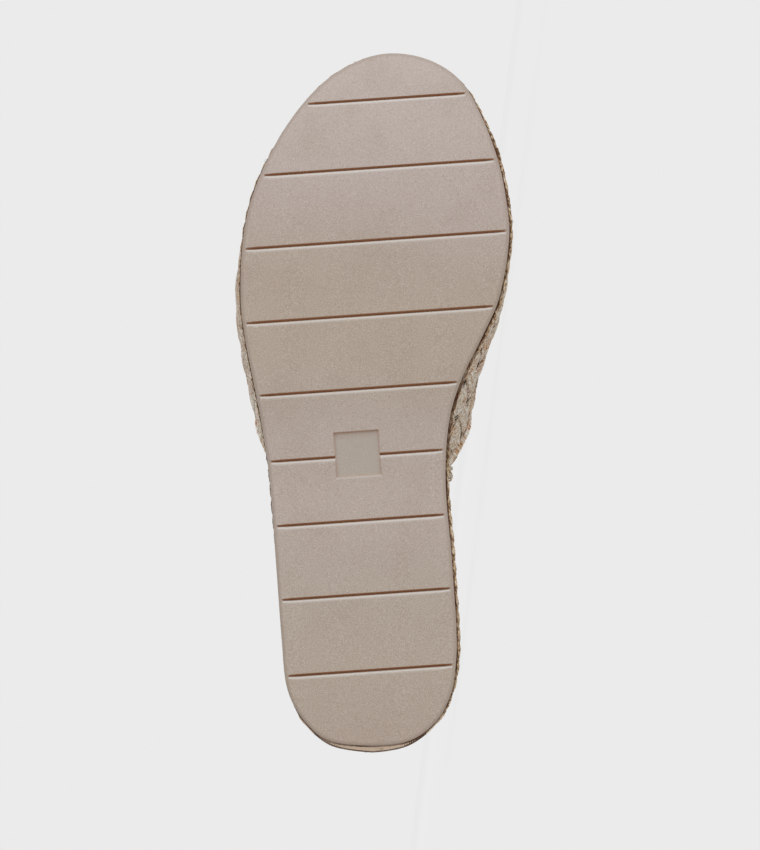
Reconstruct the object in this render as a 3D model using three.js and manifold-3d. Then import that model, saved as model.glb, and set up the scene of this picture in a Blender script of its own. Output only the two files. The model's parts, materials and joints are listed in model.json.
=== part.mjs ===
// A womens slip-on wedge shoe for the right foot: a closed-toe upper of plaited straw on a low wedge
// wound with rope, with a grooved rubber outsole. It lies on its inner side, with the sole upright.
import * as THREE from "three";
import { mergeVertices } from "three/addons/utils/BufferGeometryUtils.js";
import { ConvexHull } from "three/addons/math/ConvexHull.js";
import Module from "manifold-3d";

const wasm = await Module();
wasm.setup();

// Sizes in millimetres, as the shoe stands: X from heel to toe, Y to the inner side of the foot, Z up.
const clearance = 0.3;

// Sole
const soleLength = 252;
const ballWidth = 97.5;
const outsoleThickness = 4;
const outsoleEdge = 0.8;
const heelFlatEnd = 66;
const ballFlatStart = 138;
const ballFlatEnd = 188;
const archRise = 2.5;
const toeSpring = 10;
const springCurve = 1.8;

// Wedge, wound with rows of rope
const wedgeHeel = 44;
const wedgeForefoot = 22;
const wedgeSeatEnd = 52;
const wedgeRampEnd = 164;
const ropePitch = 5.5;
const ropeDepth = 1;
const ropeInner = 1.6;
const ropeOuter = 0.3;
const ropeHeel = 4.2;
const ropeToe = 0.5;
const wedgeTaper = 1.2;
const ropeJoin = 0.15;

// Insole
const insoleThickness = 3;
const insoleEdge = 0.8;
const insoleGap = 0.6;

// Upper
const wall = 2.4;
const upperInset = 2.5;
const instepHeight = 66;
const outerSwell = 5;
const innerSwell = 9.2;
const fullSwellWidth = 58;
const ridgeShift = 6;
const toplineSide = 98;
const throat = 138;
const toplineCurve = 1.15;
const stripRise = 1.2;
const bindingRise = 1.2;
const plaitsAlong = 10;
const plaitsAcross = 10;

// Grooves and the square recess in the tread
const grooveWidth = 1.1;
const grooveDepth = 1.2;
const grooveSkew = 4;
const grooveEnd = 1.6;
const grooveTaper = 7;
const grooveTip = 0.5;
const recessSide = 16.4;
const recessDepth = 0.8;
const recessPlace = 105.6;
const recessOff = -5.3;

// Weight of each material in grams per cubic centimetre, for the way the shoe lies
const density = { rubber: 1.2, rope: 0.3, leather: 0.9, straw: 0.3 };

// The shoe lies on a face that looks to its inner side, within this many degrees
const sideTilt = 25;

// How finely curves are divided, and how near two points are to be one
const outlineSteps = 48;
const lineSteps = 200;
const sectionSteps = 72;
const stepsPerPlait = 4;
const bindingSteps = 2;
const grooveEndTries = 4;
const samePoint = 1e-4;

// The tread's outline. at is a share of the sole length, outer and inner are shares of the ball width.
const outlineRows = [
  { at: 0, outer: 0, inner: 0 },
  { at: 0.005, outer: 0.146, inner: 0.127 },
  { at: 0.034, outer: 0.25, inner: 0.239 },
  { at: 0.063, outer: 0.299, inner: 0.284 },
  { at: 0.092, outer: 0.322, inner: 0.307 },
  { at: 0.15, outer: 0.336, inner: 0.318 },
  { at: 0.265, outer: 0.358, inner: 0.3 },
  { at: 0.381, outer: 0.382, inner: 0.277 },
  { at: 0.468, outer: 0.414, inner: 0.291 },
  { at: 0.526, outer: 0.443, inner: 0.336 },
  { at: 0.584, outer: 0.472, inner: 0.409 },
  { at: 0.642, outer: 0.489, inner: 0.475 },
  { at: 0.728, outer: 0.48, inner: 0.513 },
  { at: 0.786, outer: 0.449, inner: 0.502 },
  { at: 0.844, outer: 0.389, inner: 0.471 },
  { at: 0.902, outer: 0.303, inner: 0.415 },
  { at: 0.96, outer: 0.172, inner: 0.329 },
  { at: 0.988, outer: 0.056, inner: 0.226 },
  { at: 1, outer: -0.079, inner: 0.079 },
];

// How far the rope stands out past the tread. at is a share of the sole length, heel a share of
// ropeHeel, side a share of ropeInner or ropeOuter, and toe a share of ropeToe.
const ropeRows = [
  { at: 0, heel: 1, side: 0, toe: 0 },
  { at: 0.034, heel: 0.45, side: 0, toe: 0 },
  { at: 0.1, heel: 0.05, side: 0.85, toe: 0 },
  { at: 0.2, heel: 0, side: 1, toe: 0 },
  { at: 0.8, heel: 0, side: 1, toe: 0 },
  { at: 0.9, heel: 0, side: 0.7, toe: 0.2 },
  { at: 0.96, heel: 0, side: 0.1, toe: 1 },
  { at: 1, heel: 0, side: 0, toe: 1 },
];

// The upper from the waist to the toe. at is a share of its own length, height a share of
// instepHeight, ridge a share of ridgeShift, outer and inner shares of outerSwell and innerSwell.
const upperRows = [
  { at: 0.38, height: 1, ridge: 1, outer: 0.55, inner: 0.95 },
  { at: 0.425, height: 0.96, ridge: 1, outer: 0.7, inner: 0.98 },
  { at: 0.47, height: 0.92, ridge: 1, outer: 0.88, inner: 1 },
  { at: 0.5, height: 0.885, ridge: 1, outer: 0.94, inner: 0.96 },
  { at: 0.53, height: 0.85, ridge: 1, outer: 0.96, inner: 0.82 },
  { at: 0.56, height: 0.81, ridge: 1, outer: 0.95, inner: 0.68 },
  { at: 0.6, height: 0.76, ridge: 0.98, outer: 0.92, inner: 0.51 },
  { at: 0.65, height: 0.7, ridge: 0.94, outer: 0.87, inner: 0.34 },
  { at: 0.69, height: 0.65, ridge: 0.91, outer: 0.82, inner: 0.27 },
  { at: 0.735, height: 0.6, ridge: 0.85, outer: 0.6, inner: 0.25 },
  { at: 0.79, height: 0.54, ridge: 0.75, outer: 0.34, inner: 0.21 },
  { at: 0.86, height: 0.45, ridge: 0.6, outer: 0.05, inner: 0.12 },
  { at: 0.93, height: 0.35, ridge: 0.4, outer: -0.2, inner: 0.02 },
  { at: 0.975, height: 0.23, ridge: 0.2, outer: -0.4, inner: -0.1 },
  { at: 1, height: 0, ridge: 0, outer: -0.5, inner: -0.16 },
];

// One side of the upper's cross section, from its foot to the ridge. across is a share of the half
// width, up a share of the height, out a share of the swell.
const sectionRows = [
  { across: 1, up: 0, out: 0 },
  { across: 1, up: 0.2, out: 0.66 },
  { across: 1, up: 0.42, out: 1 },
  { across: 0.93, up: 0.64, out: 0.9 },
  { across: 0.72, up: 0.85, out: 0.45 },
  { across: 0.4, up: 0.965, out: 0.1 },
  { across: 0, up: 1, out: 0 },
];

// One row of rope in section, from its foot to its head. up is a share of ropePitch, sunk a share of
// ropeDepth.
const ropeSection = [
  { up: 0, sunk: 1 },
  { up: 0.26, sunk: 0 },
  { up: 0.74, sunk: 0 },
];

// Each groove's place, as a share of the sole length.
const grooveRows = [
  { at: 0.109 },
  { at: 0.219 },
  { at: 0.3255 },
  { at: 0.419 },
  { at: 0.515 },
  { at: 0.6205 },
  { at: 0.7275 },
  { at: 0.832 },
  { at: 0.932 },
];

// A smooth curve through one column of a table. Round ends need a column that runs evenly with the
// angle of a circle drawn on the length, so the rows are placed by that angle.
const angleOf = (share) => Math.acos(1 - 2 * THREE.MathUtils.clamp(share, 0, 1));

function columnCurve(rows, column) {
  const knots = rows.map((row) => angleOf(row.at));
  const values = rows.map((row) => row[column]);
  const slopes = values.map((value, k) => {
    const a = Math.max(k - 1, 0);
    const b = Math.min(k + 1, values.length - 1);
    return (values[b] - values[a]) / (knots[b] - knots[a]);
  });
  return (share) => {
    const angle = angleOf(share);
    let k = 0;
    while (k < knots.length - 2 && angle > knots[k + 1]) k += 1;
    const span = knots[k + 1] - knots[k];
    const u = THREE.MathUtils.clamp((angle - knots[k]) / span, 0, 1);
    const start = values[k] * (1 + 2 * u) * (1 - u) ** 2 + slopes[k] * span * u * (1 - u) ** 2;
    const end = values[k + 1] * u * u * (3 - 2 * u) - slopes[k + 1] * span * u * u * (1 - u);
    return start + end;
  };
}

const outlineOuter = columnCurve(outlineRows, "outer");
const outlineInner = columnCurve(outlineRows, "inner");
const ropeAtHeel = columnCurve(ropeRows, "heel");
const ropeAtSide = columnCurve(ropeRows, "side");
const ropeAtToe = columnCurve(ropeRows, "toe");

// Height of the ground side of the tread: flat at the heel and the ball, raised at arch and toe.
function treadLift(x) {
  if (x > heelFlatEnd && x < ballFlatStart) {
    const u = (x - heelFlatEnd) / (ballFlatStart - heelFlatEnd);
    return archRise * Math.sin(Math.PI * u) ** 2;
  }
  return springLift(x);
}

function springLift(x) {
  const u = Math.max(0, (x - ballFlatEnd) / (soleLength - ballFlatEnd));
  return toeSpring * u ** springCurve;
}

// Height of the wedge's top: level at the heel seat, down a ramp, level at the ball, up at the toe.
function wedgeTop(x) {
  const u = THREE.MathUtils.clamp((x - wedgeSeatEnd) / (wedgeRampEnd - wedgeSeatEnd), 0, 1);
  const ramp = 0.5 + 0.5 * Math.cos(Math.PI * u);
  const thick = wedgeForefoot + (wedgeHeel - wedgeForefoot) * ramp;
  return springLift(x) + outsoleThickness + clearance + thick;
}

// The tread's outline as points, anticlockwise from the heel's middle, each with its normal and the
// distance that the rope stands out there. Points k and count - k lie opposite each other.
function outlinePoints(steps) {
  const points = [];
  for (let k = 0; k < 2 * steps; k += 1) {
    const share = 0.5 - 0.5 * Math.cos((Math.PI * Math.min(k, 2 * steps - k)) / steps);
    const outer = k <= steps;
    const y = outer ? -outlineOuter(share) : outlineInner(share);
    const side = (outer ? ropeOuter : ropeInner) * ropeAtSide(share);
    const rope = ropeHeel * ropeAtHeel(share) + side + ropeToe * ropeAtToe(share);
    points.push({ x: soleLength * share, y: ballWidth * y, rope });
  }
  points.forEach((point, k) => {
    const before = points.at(k - 1);
    const after = points[(k + 1) % points.length];
    const along = new THREE.Vector2(after.x - before.x, after.y - before.y).normalize();
    point.normal = new THREE.Vector2(along.y, -along.x);
  });
  return points;
}

const outline = outlinePoints(outlineSteps);
const fineOutline = outlinePoints(lineSteps);

// A closed ring of points at a distance outside the tread's outline, at the height that level gives.
function ring(offset, level) {
  return outline.map((point) => {
    const away = offset(point);
    const x = point.x + point.normal.x * away;
    const y = point.y + point.normal.y * away;
    return new THREE.Vector3(x, y, level(x));
  });
}

// A closed solid from triangles over a list of points.
function solidOf(points, triangles) {
  const vertProperties = new Float32Array(points.length * 3);
  points.forEach((point, k) => point.toArray(vertProperties, 3 * k));
  const triVerts = new Uint32Array(triangles.flat());
  return new wasm.Manifold(new wasm.Mesh({ numProp: 3, vertProperties, triVerts }));
}

// A closed solid from a three.js geometry.
function solidOfGeometry(geometry) {
  const bare = geometry.clone();
  bare.deleteAttribute("normal");
  bare.deleteAttribute("uv");
  const merged = mergeVertices(bare, samePoint);
  return new wasm.Manifold(
    new wasm.Mesh({
      numProp: 3,
      vertProperties: merged.attributes.position.array,
      triVerts: new Uint32Array(merged.index.array),
    }),
  );
}

// A solid between rings stacked from the lowest to the highest, closed by strips across both ends.
function stack(rings) {
  const count = rings[0].length;
  const half = count / 2;
  const triangles = [];
  for (let level = 0; level + 1 < rings.length; level += 1) {
    for (let k = 0; k < count; k += 1) {
      const a = level * count + k;
      const b = level * count + ((k + 1) % count);
      triangles.push([a, b, b + count], [a, b + count, a + count]);
    }
  }
  const cap = (start, up) => {
    const add = (a, b, c) => {
      const [second, third] = up ? [b, c] : [c, b];
      triangles.push([start + a, start + second, start + third]);
    };
    add(0, 1, count - 1);
    for (let k = 1; k + 1 < half; k += 1) {
      add(k, k + 1, count - k - 1);
      add(k, count - k - 1, count - k);
    }
    add(half - 1, half, half + 1);
  };
  cap(0, false);
  cap((rings.length - 1) * count, true);
  return solidOf(rings.flat(), triangles);
}

// Half widths of an outline moved by a distance from the rope's crest, read off at any x.
function sideLines(inset) {
  const moved = fineOutline.map((point) => ({
    x: point.x + point.normal.x * (point.rope - inset),
    y: point.y + point.normal.y * (point.rope - inset),
  }));
  const outer = moved.slice(0, lineSteps + 1);
  const inner = [moved[0], ...moved.slice(lineSteps).reverse()];
  const read = (line) => (x) => {
    let k = 0;
    while (k < line.length - 2 && x > line[k + 1].x) k += 1;
    const u = THREE.MathUtils.clamp((x - line[k].x) / (line[k + 1].x - line[k].x), 0, 1);
    return THREE.MathUtils.lerp(line[k].y, line[k + 1].y, u);
  };
  return { outer: read(outer), inner: read(inner), tip: outer[lineSteps].x, tipY: outer[lineSteps].y };
}

// Outsole: a plate with a softened tread edge, grooves across it and a square recess at the waist
function makeOutsole() {
  const plate = stack([
    ring(() => -outsoleEdge, treadLift),
    ring(() => 0, (x) => treadLift(x) + outsoleEdge),
    ring(() => 0, (x) => treadLift(x) + outsoleThickness),
  ]);
  const skew = THREE.MathUtils.degToRad(grooveSkew);
  const treadOuter = (x) => -ballWidth * outlineOuter(x / soleLength);
  const treadInner = (x) => ballWidth * outlineInner(x / soleLength);
  const endOf = (side, x, inward) => {
    let y = side(x);
    for (let turn = 0; turn < grooveEndTries; turn += 1) {
      y = side(x + y * Math.tan(skew)) + inward * grooveEnd;
    }
    return y;
  };
  const place = (geometry, x, y) => {
    const slope = (treadLift(x + 1) - treadLift(x - 1)) / 2;
    geometry.rotateZ(-skew);
    geometry.rotateY(-Math.atan(slope));
    geometry.translate(x, y, treadLift(x));
    return solidOfGeometry(geometry);
  };
  const groove = (x, from, to) => {
    const half = (to - from) / 2 / Math.cos(skew);
    const wide = grooveWidth / 2;
    const shape = new THREE.Shape([
      new THREE.Vector2(-wide, grooveTaper - half),
      new THREE.Vector2(-grooveTip / 2, -half),
      new THREE.Vector2(grooveTip / 2, -half),
      new THREE.Vector2(wide, grooveTaper - half),
      new THREE.Vector2(wide, half - grooveTaper),
      new THREE.Vector2(grooveTip / 2, half),
      new THREE.Vector2(-grooveTip / 2, half),
      new THREE.Vector2(-wide, half - grooveTaper),
    ]);
    const cutter = new THREE.ExtrudeGeometry(shape, { depth: 2 * grooveDepth, bevelEnabled: false });
    cutter.translate(0, 0, -grooveDepth);
    const middle = (from + to) / 2;
    return place(cutter, x + middle * Math.tan(skew), middle);
  };
  let outsole = plate;
  grooveRows.forEach((row) => {
    const x = row.at * soleLength;
    const outer = endOf(treadOuter, x, 1);
    const inner = endOf(treadInner, x, -1);
    const crossesRecess = Math.abs(x - recessPlace) < recessSide / 2;
    const spans = crossesRecess
      ? [[outer, recessOff - recessSide / 2 - clearance], [recessOff + recessSide / 2 + clearance, inner]]
      : [[outer, inner]];
    spans.forEach(([from, to]) => {
      outsole = outsole.subtract(groove(x, from, to));
    });
  });
  const square = new THREE.BoxGeometry(recessSide, recessSide, 2 * recessDepth);
  return outsole.subtract(place(square, recessPlace, recessOff));
}

// Wedge: rows of rope round a core, cut off along the ramp, under one more row that follows the top
function makeWedge() {
  const base = (x) => treadLift(x) + outsoleThickness + clearance;
  const lean = (height) => (wedgeTaper * height) / wedgeHeel;
  const row = (level, heightOf) =>
    ropeSection.map(({ up, sunk }) => {
      const height = (x) => heightOf(x) + (level + up) * ropePitch;
      const out = (point) => point.rope - sunk * ropeDepth - lean(height(point.x));
      return ring(out, (x) => base(x) + height(x));
    });
  const rows = Math.ceil(wedgeHeel / ropePitch);
  const rings = [];
  for (let level = 0; level < rows; level += 1) rings.push(...row(level, () => 0));
  const wound = stack(rings);
  const capFoot = (x) => wedgeTop(x) - base(x) - ropePitch;
  const capRings = row(0, capFoot);
  capRings.push(ring((point) => point.rope - ropeDepth - lean(capFoot(point.x)), wedgeTop));
  const cap = stack(capRings);
  const wellOut = () => ropeHeel + ropePitch;
  const wellOver = () => wedgeHeel + toeSpring + outsoleThickness + 2 * ropePitch;
  const over = stack([
    ring(wellOut, (x) => wedgeTop(x) - ropePitch + ropeJoin),
    ring(wellOut, wellOver),
  ]);
  return wound.subtract(over).add(cap);
}

// Insole: a thin sock on top of the wedge, inside the upper
function makeInsole() {
  const inset = upperInset + wall + insoleGap;
  const foot = (x) => wedgeTop(x) + clearance;
  return stack([
    ring((point) => point.rope - inset, foot),
    ring((point) => point.rope - inset, (x) => foot(x) + insoleThickness - insoleEdge),
    ring((point) => point.rope - inset - insoleEdge, (x) => foot(x) + insoleThickness),
  ]);
}

// One face of the upper's wall: a point of the section at x, by its share of the way over the foot
function wallFace(inset, thinned) {
  const sides = sideLines(inset);
  const column = (name) => columnCurve(upperRows, name);
  const height = column("height");
  const ridge = column("ridge");
  const swellOuter = column("outer");
  const swellInner = column("inner");
  const toStrips = upperInset - stripRise;
  const section = (x) => {
    const share = x / sides.tip;
    const full = instepHeight * height(share);
    const high = full <= 0 ? 0 : (full * full) / (full + thinned);
    const left = sides.outer(x);
    const right = sides.inner(x);
    const near = Math.min(1, (right - left) / fullSwellWidth);
    const crown = (left + right) / 2 + ridgeShift * ridge(share) * near;
    const half = (side, out) => (r) =>
      new THREE.Vector3(0, crown + (side - crown) * r.across + out * near * r.out, high * r.up);
    const swellLeft = -(outerSwell * swellOuter(share) + toStrips - ropeOuter);
    const swellRight = innerSwell * swellInner(share) + toStrips - ropeInner;
    const up = sectionRows.map(half(left, swellLeft));
    const down = sectionRows.slice(0, -1).reverse().map(half(right, swellRight));
    const curve = new THREE.CatmullRomCurve3([...up, ...down], false, "centripetal");
    curve.arcLengthDivisions = sectionSteps;
    return curve;
  };
  const toplineAt = (across) => {
    const rise = Math.sin(Math.PI * THREE.MathUtils.clamp(across, 0, 1));
    return toplineSide + (throat - toplineSide) * Math.max(0, rise) ** toplineCurve;
  };
  return (along, across) => {
    const start = toplineAt(across);
    const x = start + (sides.tip - start) * (along + along ** 2 - along ** 3);
    const foot = wedgeTop(x) + clearance;
    if (along === 1) return new THREE.Vector3(sides.tip, sides.tipY, foot);
    const point = section(x).getPointAt(across);
    return new THREE.Vector3(x, point.y, foot + point.z);
  };
}

// A grid of points over one face of the wall. Its last row is the one point at the toe.
function faceGrid(face, along, across) {
  const rows = [];
  for (let i = 0; i < along; i += 1) {
    rows.push([]);
    for (let j = 0; j <= across; j += 1) rows[i].push(face(i / along, j / across));
  }
  rows.push([face(1, 0.5)]);
  return rows;
}

// Upper: one hollow wall, with the straw strips raised outside and a bound edge at the topline
function makeUpper() {
  const along = stepsPerPlait * plaitsAlong;
  const across = stepsPerPlait * plaitsAcross;
  const phase = (2 * Math.PI) / stepsPerPlait;
  const smooth = faceGrid(wallFace(upperInset, 0), along, across);
  const outside = smooth.map((row, i) =>
    row.map((point, j) => {
      if (row.length === 1 || j === 0 || j === across) return point.clone();
      const next = smooth[i + 1][Math.min(j, smooth[i + 1].length - 1)];
      const before = smooth[Math.max(i - 1, 0)][j];
      const lengthwise = next.clone().sub(before);
      const sideways = row[j + 1].clone().sub(row[j - 1]);
      const outward = lengthwise.cross(sideways).normalize();
      const plait = 0.5 + 0.5 * Math.cos(phase * i) * Math.cos(phase * j);
      const toToe = Math.min(1, (along - i) / plaitsAlong);
      const toFoot = Math.min(1, Math.min(j, across - j) / bindingSteps);
      const rise = i < bindingSteps ? bindingRise : stripRise * plait;
      return point.clone().addScaledVector(outward, rise * toToe * toFoot);
    }),
  );
  const inside = faceGrid(wallFace(upperInset + wall, wall), along / 2, across / 2);
  const points = [];
  const triangles = [];
  const number = (grid) =>
    grid.map((row) =>
      row.map((point) => {
        points.push(point);
        return points.length - 1;
      }),
    );
  const skin = (grid, turned) => {
    const add = (a, b, c) => triangles.push(turned ? [a, b, c] : [a, c, b]);
    grid.slice(0, -1).forEach((row, i) => {
      for (let j = 0; j + 1 < row.length; j += 1) {
        const next = grid[i + 1];
        if (next.length === 1) add(row[j], row[j + 1], next[0]);
        else if ((i + j) % 2) {
          add(row[j], row[j + 1], next[j]);
          add(row[j + 1], next[j + 1], next[j]);
        } else {
          add(row[j], row[j + 1], next[j + 1]);
          add(row[j], next[j + 1], next[j]);
        }
      }
    });
  };
  // Closes the gap between an edge of the outside and the same edge of the inside, which has half
  // as many points.
  const close = (outer, inner) => {
    for (let k = 0; k + 1 < inner.length; k += 1) {
      triangles.push([outer[2 * k], outer[2 * k + 1], inner[k]]);
      triangles.push([outer[2 * k + 1], inner[k + 1], inner[k]]);
      triangles.push([outer[2 * k + 1], outer[2 * k + 2], inner[k + 1]]);
    }
  };
  const out = number(outside);
  const inn = number(inside);
  skin(out, false);
  skin(inn, true);
  close(out[0], inn[0]);
  close(
    out.map((row) => row[0]).reverse(),
    inn.map((row) => row[0]).reverse(),
  );
  close(
    out.map((row) => row.at(-1)),
    inn.map((row) => row.at(-1)),
  );
  return solidOf(points, triangles);
}

// The solid's triangles as a mesh
function meshOf(name, solid, color, roughness) {
  const data = solid.getMesh();
  const geometry = new THREE.BufferGeometry();
  geometry.setAttribute("position", new THREE.BufferAttribute(data.vertProperties, 3));
  geometry.setIndex(new THREE.BufferAttribute(data.triVerts, 1));
  geometry.computeVertexNormals();
  const material = new THREE.MeshStandardMaterial({ color, roughness, metalness: 0 });
  const mesh = new THREE.Mesh(geometry, material);
  mesh.name = name;
  return mesh;
}

// The middle of a solid's weight, and the weight, from the tetrahedra under its triangles
function weigh(mesh, heaviness) {
  const position = mesh.geometry.attributes.position;
  const index = mesh.geometry.index;
  const corner = (k) => new THREE.Vector3().fromBufferAttribute(position, index.getX(k));
  const moment = new THREE.Vector3();
  let weight = 0;
  for (let k = 0; k < index.count; k += 3) {
    const [a, b, c] = [corner(k), corner(k + 1), corner(k + 2)];
    const part = (a.dot(b.clone().cross(c)) / 6) * heaviness;
    moment.addScaledVector(a.add(b).add(c), part / 4);
    weight += part;
  }
  return { moment, weight };
}

const outsole = meshOf("outsole", makeOutsole(), 0xad9f92, 0.85);
const wedge = meshOf("rope_wedge", makeWedge(), 0xb59a72, 0.95);
const insole = meshOf("insole", makeInsole(), 0xc2a684, 0.8);
const upper = meshOf("upper", makeUpper(), 0xc8beaa, 0.9);

const shoe = new THREE.Group();
shoe.add(outsole, wedge, insole, upper);

// Lying down: the shoe rests on the face of its hull that lies below its middle of weight, on the
// inner side, and then turns so that the tread looks along -Y and the toe points along +X.
function layDown(group) {
  const weights = [
    weigh(outsole, density.rubber),
    weigh(wedge, density.rope),
    weigh(insole, density.leather),
    weigh(upper, density.straw),
  ];
  const total = weights.reduce((sum, one) => sum + one.weight, 0);
  const centre = new THREE.Vector3();
  weights.forEach((one) => centre.addScaledVector(one.moment, 1 / total));
  const corners = [];
  group.children.forEach((mesh) => {
    const position = mesh.geometry.attributes.position;
    for (let k = 0; k < position.count; k += 1) {
      corners.push(new THREE.Vector3().fromBufferAttribute(position, k));
    }
  });
  const inward = new THREE.Vector3(0, 1, 0);
  const hull = new ConvexHull().setFromPoints(corners);
  const holds = (face) => {
    if (face.normal.angleTo(inward) > THREE.MathUtils.degToRad(sideTilt)) return false;
    const drop = face.constant - centre.dot(face.normal);
    const landing = centre.clone().addScaledVector(face.normal, drop);
    let edge = face.edge;
    do {
      const head = edge.head().point;
      const tail = edge.tail().point;
      const side = head.clone().sub(tail).cross(landing.clone().sub(tail));
      if (side.dot(face.normal) < 0) return false;
      edge = edge.next;
    } while (edge !== face.edge);
    return true;
  };
  const down = hull.faces.find(holds).normal.clone().negate();
  const up = down.clone();
  const toe = new THREE.Vector3(1, 0, 0).addScaledVector(up, -up.x).normalize();
  const back = up.clone().cross(toe);
  const turn = new THREE.Matrix4().makeBasis(toe, back, up).transpose();
  group.applyMatrix4(turn);
  group.updateMatrixWorld(true);
  const box = new THREE.Box3().setFromObject(group, true);
  const middle = box.getCenter(new THREE.Vector3());
  group.position.set(-middle.x, -middle.y, -box.min.z);
}

layDown(shoe);

export default shoe;
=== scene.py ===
import json
import math

import bmesh
import bpy
import numpy as np
from mathutils import Matrix, Vector


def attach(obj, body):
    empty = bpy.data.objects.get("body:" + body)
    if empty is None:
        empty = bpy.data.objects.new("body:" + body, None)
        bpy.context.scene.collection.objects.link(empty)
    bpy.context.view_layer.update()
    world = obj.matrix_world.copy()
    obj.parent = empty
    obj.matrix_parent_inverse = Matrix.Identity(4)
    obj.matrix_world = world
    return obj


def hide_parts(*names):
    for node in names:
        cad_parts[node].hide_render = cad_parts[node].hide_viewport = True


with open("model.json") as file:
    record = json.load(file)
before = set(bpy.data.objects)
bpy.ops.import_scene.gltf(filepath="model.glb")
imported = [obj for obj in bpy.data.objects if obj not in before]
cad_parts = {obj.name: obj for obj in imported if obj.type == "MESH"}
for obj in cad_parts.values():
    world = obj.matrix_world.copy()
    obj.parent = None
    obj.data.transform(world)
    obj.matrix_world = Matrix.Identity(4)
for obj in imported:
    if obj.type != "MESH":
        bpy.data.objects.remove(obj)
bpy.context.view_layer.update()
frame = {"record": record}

MM = 0.001

# Sizes in millimetres in the standing shoe's own frame: X from heel to toe, Y to the inner side of
# the foot, Z up from the flat of the tread. They are those of the solids, but GROOVE_TAPER, over which
# a groove runs out at its ends, is shorter here.
CLEARANCE = 0.3
SOLE_LENGTH = 252.0
BALL_WIDTH = 97.5
OUTSOLE_THICKNESS = 4.0
HEEL_FLAT_END = 66.0
BALL_FLAT_START = 138.0
BALL_FLAT_END = 188.0
ARCH_RISE = 2.5
TOE_SPRING = 10.0
SPRING_CURVE = 1.8

GROOVE_WIDTH = 1.1
GROOVE_DEPTH = 1.2
GROOVE_SKEW = math.radians(4)
GROOVE_END = 1.6
GROOVE_TAPER = 3.0
GROOVE_PLACES = (0.109, 0.219, 0.3255, 0.419, 0.515, 0.6205, 0.7275, 0.832, 0.932)
RECESS_SIDE = 16.4
RECESS_DEPTH = 0.8
RECESS_PLACE = 105.6
RECESS_OFF = -5.3

WEDGE_HEEL = 44.0
WEDGE_FOREFOOT = 22.0
WEDGE_SEAT_END = 52.0
WEDGE_RAMP_END = 164.0
WEDGE_TAPER = 1.2
ROPE_PITCH = 5.5
ROPE_INNER = 1.6
ROPE_OUTER = 0.3
ROPE_HEEL = 4.2
ROPE_TOE = 0.5

INSOLE_THICKNESS = 3.0
INSOLE_GAP = 0.6

WALL = 2.4
UPPER_INSET = 2.5
INSTEP_HEIGHT = 66.0
OUTER_SWELL = 5.0
INNER_SWELL = 9.2
FULL_SWELL_WIDTH = 58.0
RIDGE_SHIFT = 6.0
TOPLINE_SIDE = 98.0
THROAT = 138.0
TOPLINE_CURVE = 1.15
STRIP_RISE = 1.2

FINE_STEPS = 1500
RING_POINTS = 1200


def table(names, rows):
    """A table as one array for each named column."""
    return dict(zip(names.split(), np.array(rows, float).T))


# The tread's outline: at is a share of the sole length, outer and inner are shares of the ball width.
OUTLINE = table("at outer inner", [
    (0, 0, 0),
    (0.005, 0.146, 0.127),
    (0.034, 0.25, 0.239),
    (0.063, 0.299, 0.284),
    (0.092, 0.322, 0.307),
    (0.15, 0.336, 0.318),
    (0.265, 0.358, 0.3),
    (0.381, 0.382, 0.277),
    (0.468, 0.414, 0.291),
    (0.526, 0.443, 0.336),
    (0.584, 0.472, 0.409),
    (0.642, 0.489, 0.475),
    (0.728, 0.48, 0.513),
    (0.786, 0.449, 0.502),
    (0.844, 0.389, 0.471),
    (0.902, 0.303, 0.415),
    (0.96, 0.172, 0.329),
    (0.988, 0.056, 0.226),
    (1, -0.079, 0.079),
])

# How far the rope stands out past the tread: heel, side and toe are shares of the rope's sizes.
ROPE_OUT = table("at heel side toe", [
    (0, 1, 0, 0),
    (0.034, 0.45, 0, 0),
    (0.1, 0.05, 0.85, 0),
    (0.2, 0, 1, 0),
    (0.8, 0, 1, 0),
    (0.9, 0, 0.7, 0.2),
    (0.96, 0, 0.1, 1),
    (1, 0, 0, 1),
])

# The upper: at is a share of its own length, height of INSTEP_HEIGHT, ridge of RIDGE_SHIFT, and
# outer and inner are shares of the two swells.
UPPER = table("at height ridge outer inner", [
    (0.38, 1, 1, 0.55, 0.95),
    (0.425, 0.96, 1, 0.7, 0.98),
    (0.47, 0.92, 1, 0.88, 1),
    (0.5, 0.885, 1, 0.94, 0.96),
    (0.53, 0.85, 1, 0.96, 0.82),
    (0.56, 0.81, 1, 0.95, 0.68),
    (0.6, 0.76, 0.98, 0.92, 0.51),
    (0.65, 0.7, 0.94, 0.87, 0.34),
    (0.69, 0.65, 0.91, 0.82, 0.27),
    (0.735, 0.6, 0.85, 0.6, 0.25),
    (0.79, 0.54, 0.75, 0.34, 0.21),
    (0.86, 0.45, 0.6, 0.05, 0.12),
    (0.93, 0.35, 0.4, -0.2, 0.02),
    (0.975, 0.23, 0.2, -0.4, -0.1),
    (1, 0, 0, -0.5, -0.16),
])

# One side of the upper's cross section from its foot to the ridge, as shares of the half width, the
# height and the swell.
SECTION = table("across up out", [
    (1, 0, 0),
    (1, 0.2, 0.66),
    (1, 0.42, 1),
    (0.93, 0.64, 0.9),
    (0.72, 0.85, 0.45),
    (0.4, 0.965, 0.1),
    (0, 1, 0),
])


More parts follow.
